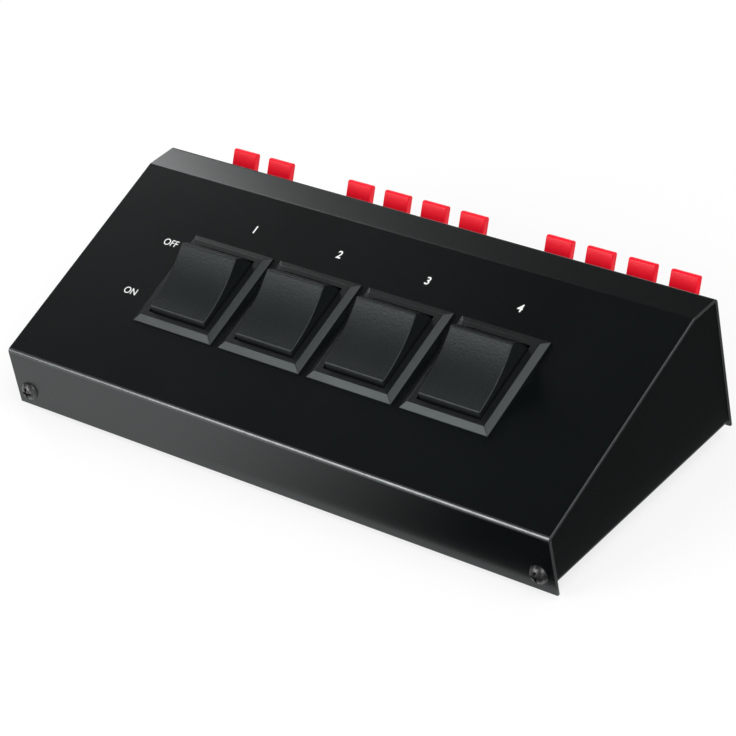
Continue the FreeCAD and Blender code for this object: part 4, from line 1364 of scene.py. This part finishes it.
class SELECTOR_OT_inner_parts(bpy.types.Operator):
    """Gives the contacts, springs, strips and wires their finishes"""

    bl_idname = "selector.inner_parts"
    bl_label = "Inner parts"

    def execute(self, context):
        brass = metal("brass", (0.72, 0.52, 0.24, 1.0),
                      roughness=0.25, stain=(0.34, 0.22, 0.10, 1.0))
        tin = metal("tinned brass", (0.66, 0.65, 0.60, 1.0),
                    roughness=0.30, stain=(0.50, 0.44, 0.32, 1.0))
        spring = spring_steel()
        nylon = moulded_plastic("nylon", (0.66, 0.64, 0.56, 1.0),
                                roughness=0.45, grain_scale=1500, grain_depth=0.01 * MM)
        red = sheath("red wire", (0.42, 0.012, 0.012, 1.0))
        black = sheath("black wire", (0.014, 0.014, 0.015, 1.0))
        kinds = {"plungers_": nylon, "plunger_springs_": spring, "contact_blades_": brass,
                 "contact_strips_": brass, "common_lugs": tin, "switched_lugs": tin,
                 "switched_wires": red, "feed_wires": red, "return_wires": black}
        for name, node in frame["nodes"].items():
            for start, finish in kinds.items():
                if name.startswith(start):
                    node.data.materials.clear()
                    node.data.materials.append(finish)
        return {"FINISHED"}


# Studio

def floor_finish(scene):
    """Pale floor that keeps its shadow, and is also seen pale in reflections."""
    finish = Finish("pale floor")
    pale = scene.selector_colours.floor
    base = finish.blend(finish.noise(3, detail=2), shade(pale, 0.985), pale)
    matt = finish.node("ShaderNodeBsdfDiffuse", {}, {"Color": base})
    glow = finish.node("ShaderNodeEmission", {}, {"Color": (1, 1, 1, 1), "Strength": 1.0})
    share = seen_share(finish) * 0.75
    return finish.surface(finish.node("ShaderNodeMixShader", {}, {0: share, 1: matt, 2: glow}))


def seen_share(finish):
    """1 for what the camera, a reflection or a glass sees, and 0 for soft light."""
    kinds = ("Camera", "Glossy", "Transmission")
    rays = [finish.node("ShaderNodeLightPath", output=f"Is {kind} Ray") for kind in kinds]
    return (rays[0] + rays[1] + rays[2]).capped()


def black_card(name, start, end, most):
    """A black card that fades in from start to end along X, to most of its full black."""
    finish = Finish(name)
    along = finish.node("ShaderNodeSeparateXYZ", {}, {0: finish.place})
    share = finish.spread(along, start, end, to_high=most)
    clear = finish.node("ShaderNodeBsdfTransparent")
    black = finish.node("ShaderNodeBsdfDiffuse", {}, {"Color": (0.0, 0.0, 0.0, 1.0)})
    return finish.surface(finish.node("ShaderNodeMixShader", {}, {0: share, 1: clear, 2: black}))


def add_card(name, x, y, z, fade, most=1.0):
    """A flat card at one height, seen only in reflections."""
    deselect()
    middle = ((x[0] + x[1]) / 2, (y[0] + y[1]) / 2, z)
    bpy.ops.mesh.primitive_plane_add(size=1, location=middle)
    card = bpy.context.object
    card.scale = (x[1] - x[0], y[1] - y[0], 1)
    card = named(name)
    card.data.materials.append(black_card(name, *fade, most))
    for ray in ("camera", "diffuse", "transmission", "volume_scatter", "shadow"):
        setattr(card, f"visible_{ray}", False)


def add_lamp(name, towards, distance, width, height, power):
    """A soft box that faces the object from one direction."""
    deselect()
    direction = Vector(towards).normalized()
    bpy.ops.object.light_add(type="AREA", location=direction * distance)
    lamp = bpy.context.object
    lamp.name = lamp.data.name = name
    lamp.rotation_euler = direction.to_track_quat("Z", "Y").to_euler()
    lamp.data.shape = "RECTANGLE"
    lamp.data.size = width
    lamp.data.size_y = height
    lamp.data.energy = power
    lamp.visible_camera = False


def add_world(strength):
    """Plain studio light from all round, white where it is seen."""
    world = bpy.data.worlds.new("studio")
    bpy.context.scene.world = world
    world.use_nodes = True
    tree = world.node_tree
    tree.nodes.clear()
    paths = tree.nodes.new("ShaderNodeLightPath")
    soft = tree.nodes.new("ShaderNodeBackground")
    soft.inputs["Strength"].default_value = strength
    seen = tree.nodes.new("ShaderNodeBackground")
    seen.inputs["Color"].default_value = (1, 1, 1, 1)
    seen.inputs["Strength"].default_value = 1.0
    share = paths.outputs["Is Camera Ray"]
    for kind in ("Glossy", "Transmission"):
        more = tree.nodes.new("ShaderNodeMath")
        more.operation = "MAXIMUM"
        tree.links.new(share, more.inputs[0])
        tree.links.new(paths.outputs[f"Is {kind} Ray"], more.inputs[1])
        share = more.outputs[0]
    mixed = tree.nodes.new("ShaderNodeMixShader")
    output = tree.nodes.new("ShaderNodeOutputWorld")
    tree.links.new(share, mixed.inputs[0])
    tree.links.new(soft.outputs[0], mixed.inputs[1])
    tree.links.new(seen.outputs[0], mixed.inputs[2])
    tree.links.new(mixed.outputs[0], output.inputs["Surface"])


def add_camera(stage):
    """The photograph's view of the object."""
    deselect()
    bpy.ops.object.camera_add()
    camera = bpy.context.object
    level = Matrix.Rotation(math.pi / 2 - stage.elevation, 4, "X")
    turn = Matrix.Rotation(stage.azimuth, 4, "Z") @ level @ Matrix.Rotation(stage.roll, 4, "Z")
    aim = Vector((stage.aim_x, stage.aim_y, stage.aim_z))
    camera.matrix_world = Matrix.Translation(aim) @ turn @ Matrix.Translation((0, 0, stage.distance))
    camera.data.lens = stage.lens
    camera.data.sensor_width = 36.0
    camera.data.clip_start = 0.05
    camera.data.clip_end = 50.0
    bpy.context.scene.camera = camera


class SELECTOR_OT_stage(bpy.types.Operator):
    """Sets up the floor, the studio lamps, the cards and the camera"""

    bl_idname = "selector.stage"
    bl_label = "Studio"

    def execute(self, context):
        scene = context.scene
        stage = scene.selector_stage
        deselect()
        bpy.ops.mesh.primitive_circle_add(vertices=96, radius=stage.floor_radius, fill_type="NGON")
        bpy.ops.transform.translate(value=(0, 0, -stage.floor_drop))
        floor = named("studio_floor")
        floor.data.materials.append(floor_finish(scene))
        low, high = case_box()
        front, side, lift = low.y - 4 * MM, high.x + 3 * MM, stage.card_lift
        add_card("front_card", x=(-0.06, 0.6), y=(-0.6, front), z=lift, fade=(-0.06, 0.07))
        add_card("side_card", x=(side, 0.6), y=(front, 0.5), z=lift, fade=(0.09, 0.10), most=0.93)
        add_card("ceiling_card", x=(-6.0, 30.0), y=(-30.0, 30.0), z=2.4, fade=(-5.0, -1.9))
        add_card("left_card", x=(-30.0, -3.6), y=(-30.0, 30.0), z=2.3, fade=(-32.0, -31.0))
        add_lamp("front_soft_box", towards=(-0.42, -0.76, 0.42), distance=1.6,
                 width=1.0, height=0.7, power=14.0)
        add_lamp("top_soft_box", towards=(1.02, 0.09, 1.55), distance=1.86,
                 width=1.1, height=1.1, power=13.5)
        add_lamp("back_soft_box", towards=(-1.32, 0.72, 0.80), distance=1.7,
                 width=0.6, height=0.7, power=5.2)
        add_lamp("camera_soft_box", towards=(0.65, -0.45, 0.62), distance=1.8,
                 width=0.9, height=0.9, power=10.0)
        add_world(stage.soft_light)
        add_camera(stage)
        scene.view_settings.view_transform = "Standard"
        return {"FINISHED"}


OPERATORS = (
    SELECTOR_OT_case,
    SELECTOR_OT_housings,
    SELECTOR_OT_rockers,
    SELECTOR_OT_print,
    SELECTOR_OT_levers,
    SELECTOR_OT_leaf_springs,
    SELECTOR_OT_blocks,
    SELECTOR_OT_fasteners,
    SELECTOR_OT_feet,
    SELECTOR_OT_inner_parts,
    SELECTOR_OT_stage,
)


class SELECTOR_PT_panel(bpy.types.Panel):
    """Lists the pieces of the selector switch"""

    bl_label = "Speaker selector"
    bl_idname = "SELECTOR_PT_panel"
    bl_space_type = "VIEW_3D"
    bl_region_type = "UI"
    bl_category = "Selector"

    def draw(self, context):
        for operator in OPERATORS:
            self.layout.operator(operator.bl_idname)


def register():
    """Registers the sizes, the operators and the panel."""
    for name, group in PROPERTY_GROUPS.items():
        bpy.utils.register_class(group)
        setattr(bpy.types.Scene, name, PointerProperty(type=group))
    for kind in OPERATORS + (SELECTOR_PT_panel,):
        bpy.utils.register_class(kind)


def unregister():
    """Takes away what register() added."""
    for kind in (SELECTOR_PT_panel,) + OPERATORS[::-1]:
        bpy.utils.unregister_class(kind)
    for name, group in PROPERTY_GROUPS.items():
        delattr(bpy.types.Scene, name)
        bpy.utils.unregister_class(group)


def main():
    """Models the whole object."""
    register()
    for operator in OPERATORS:
        group, name = operator.bl_idname.split(".")
        getattr(getattr(bpy.ops, group), name)()


if __name__ == "__main__":
    main()
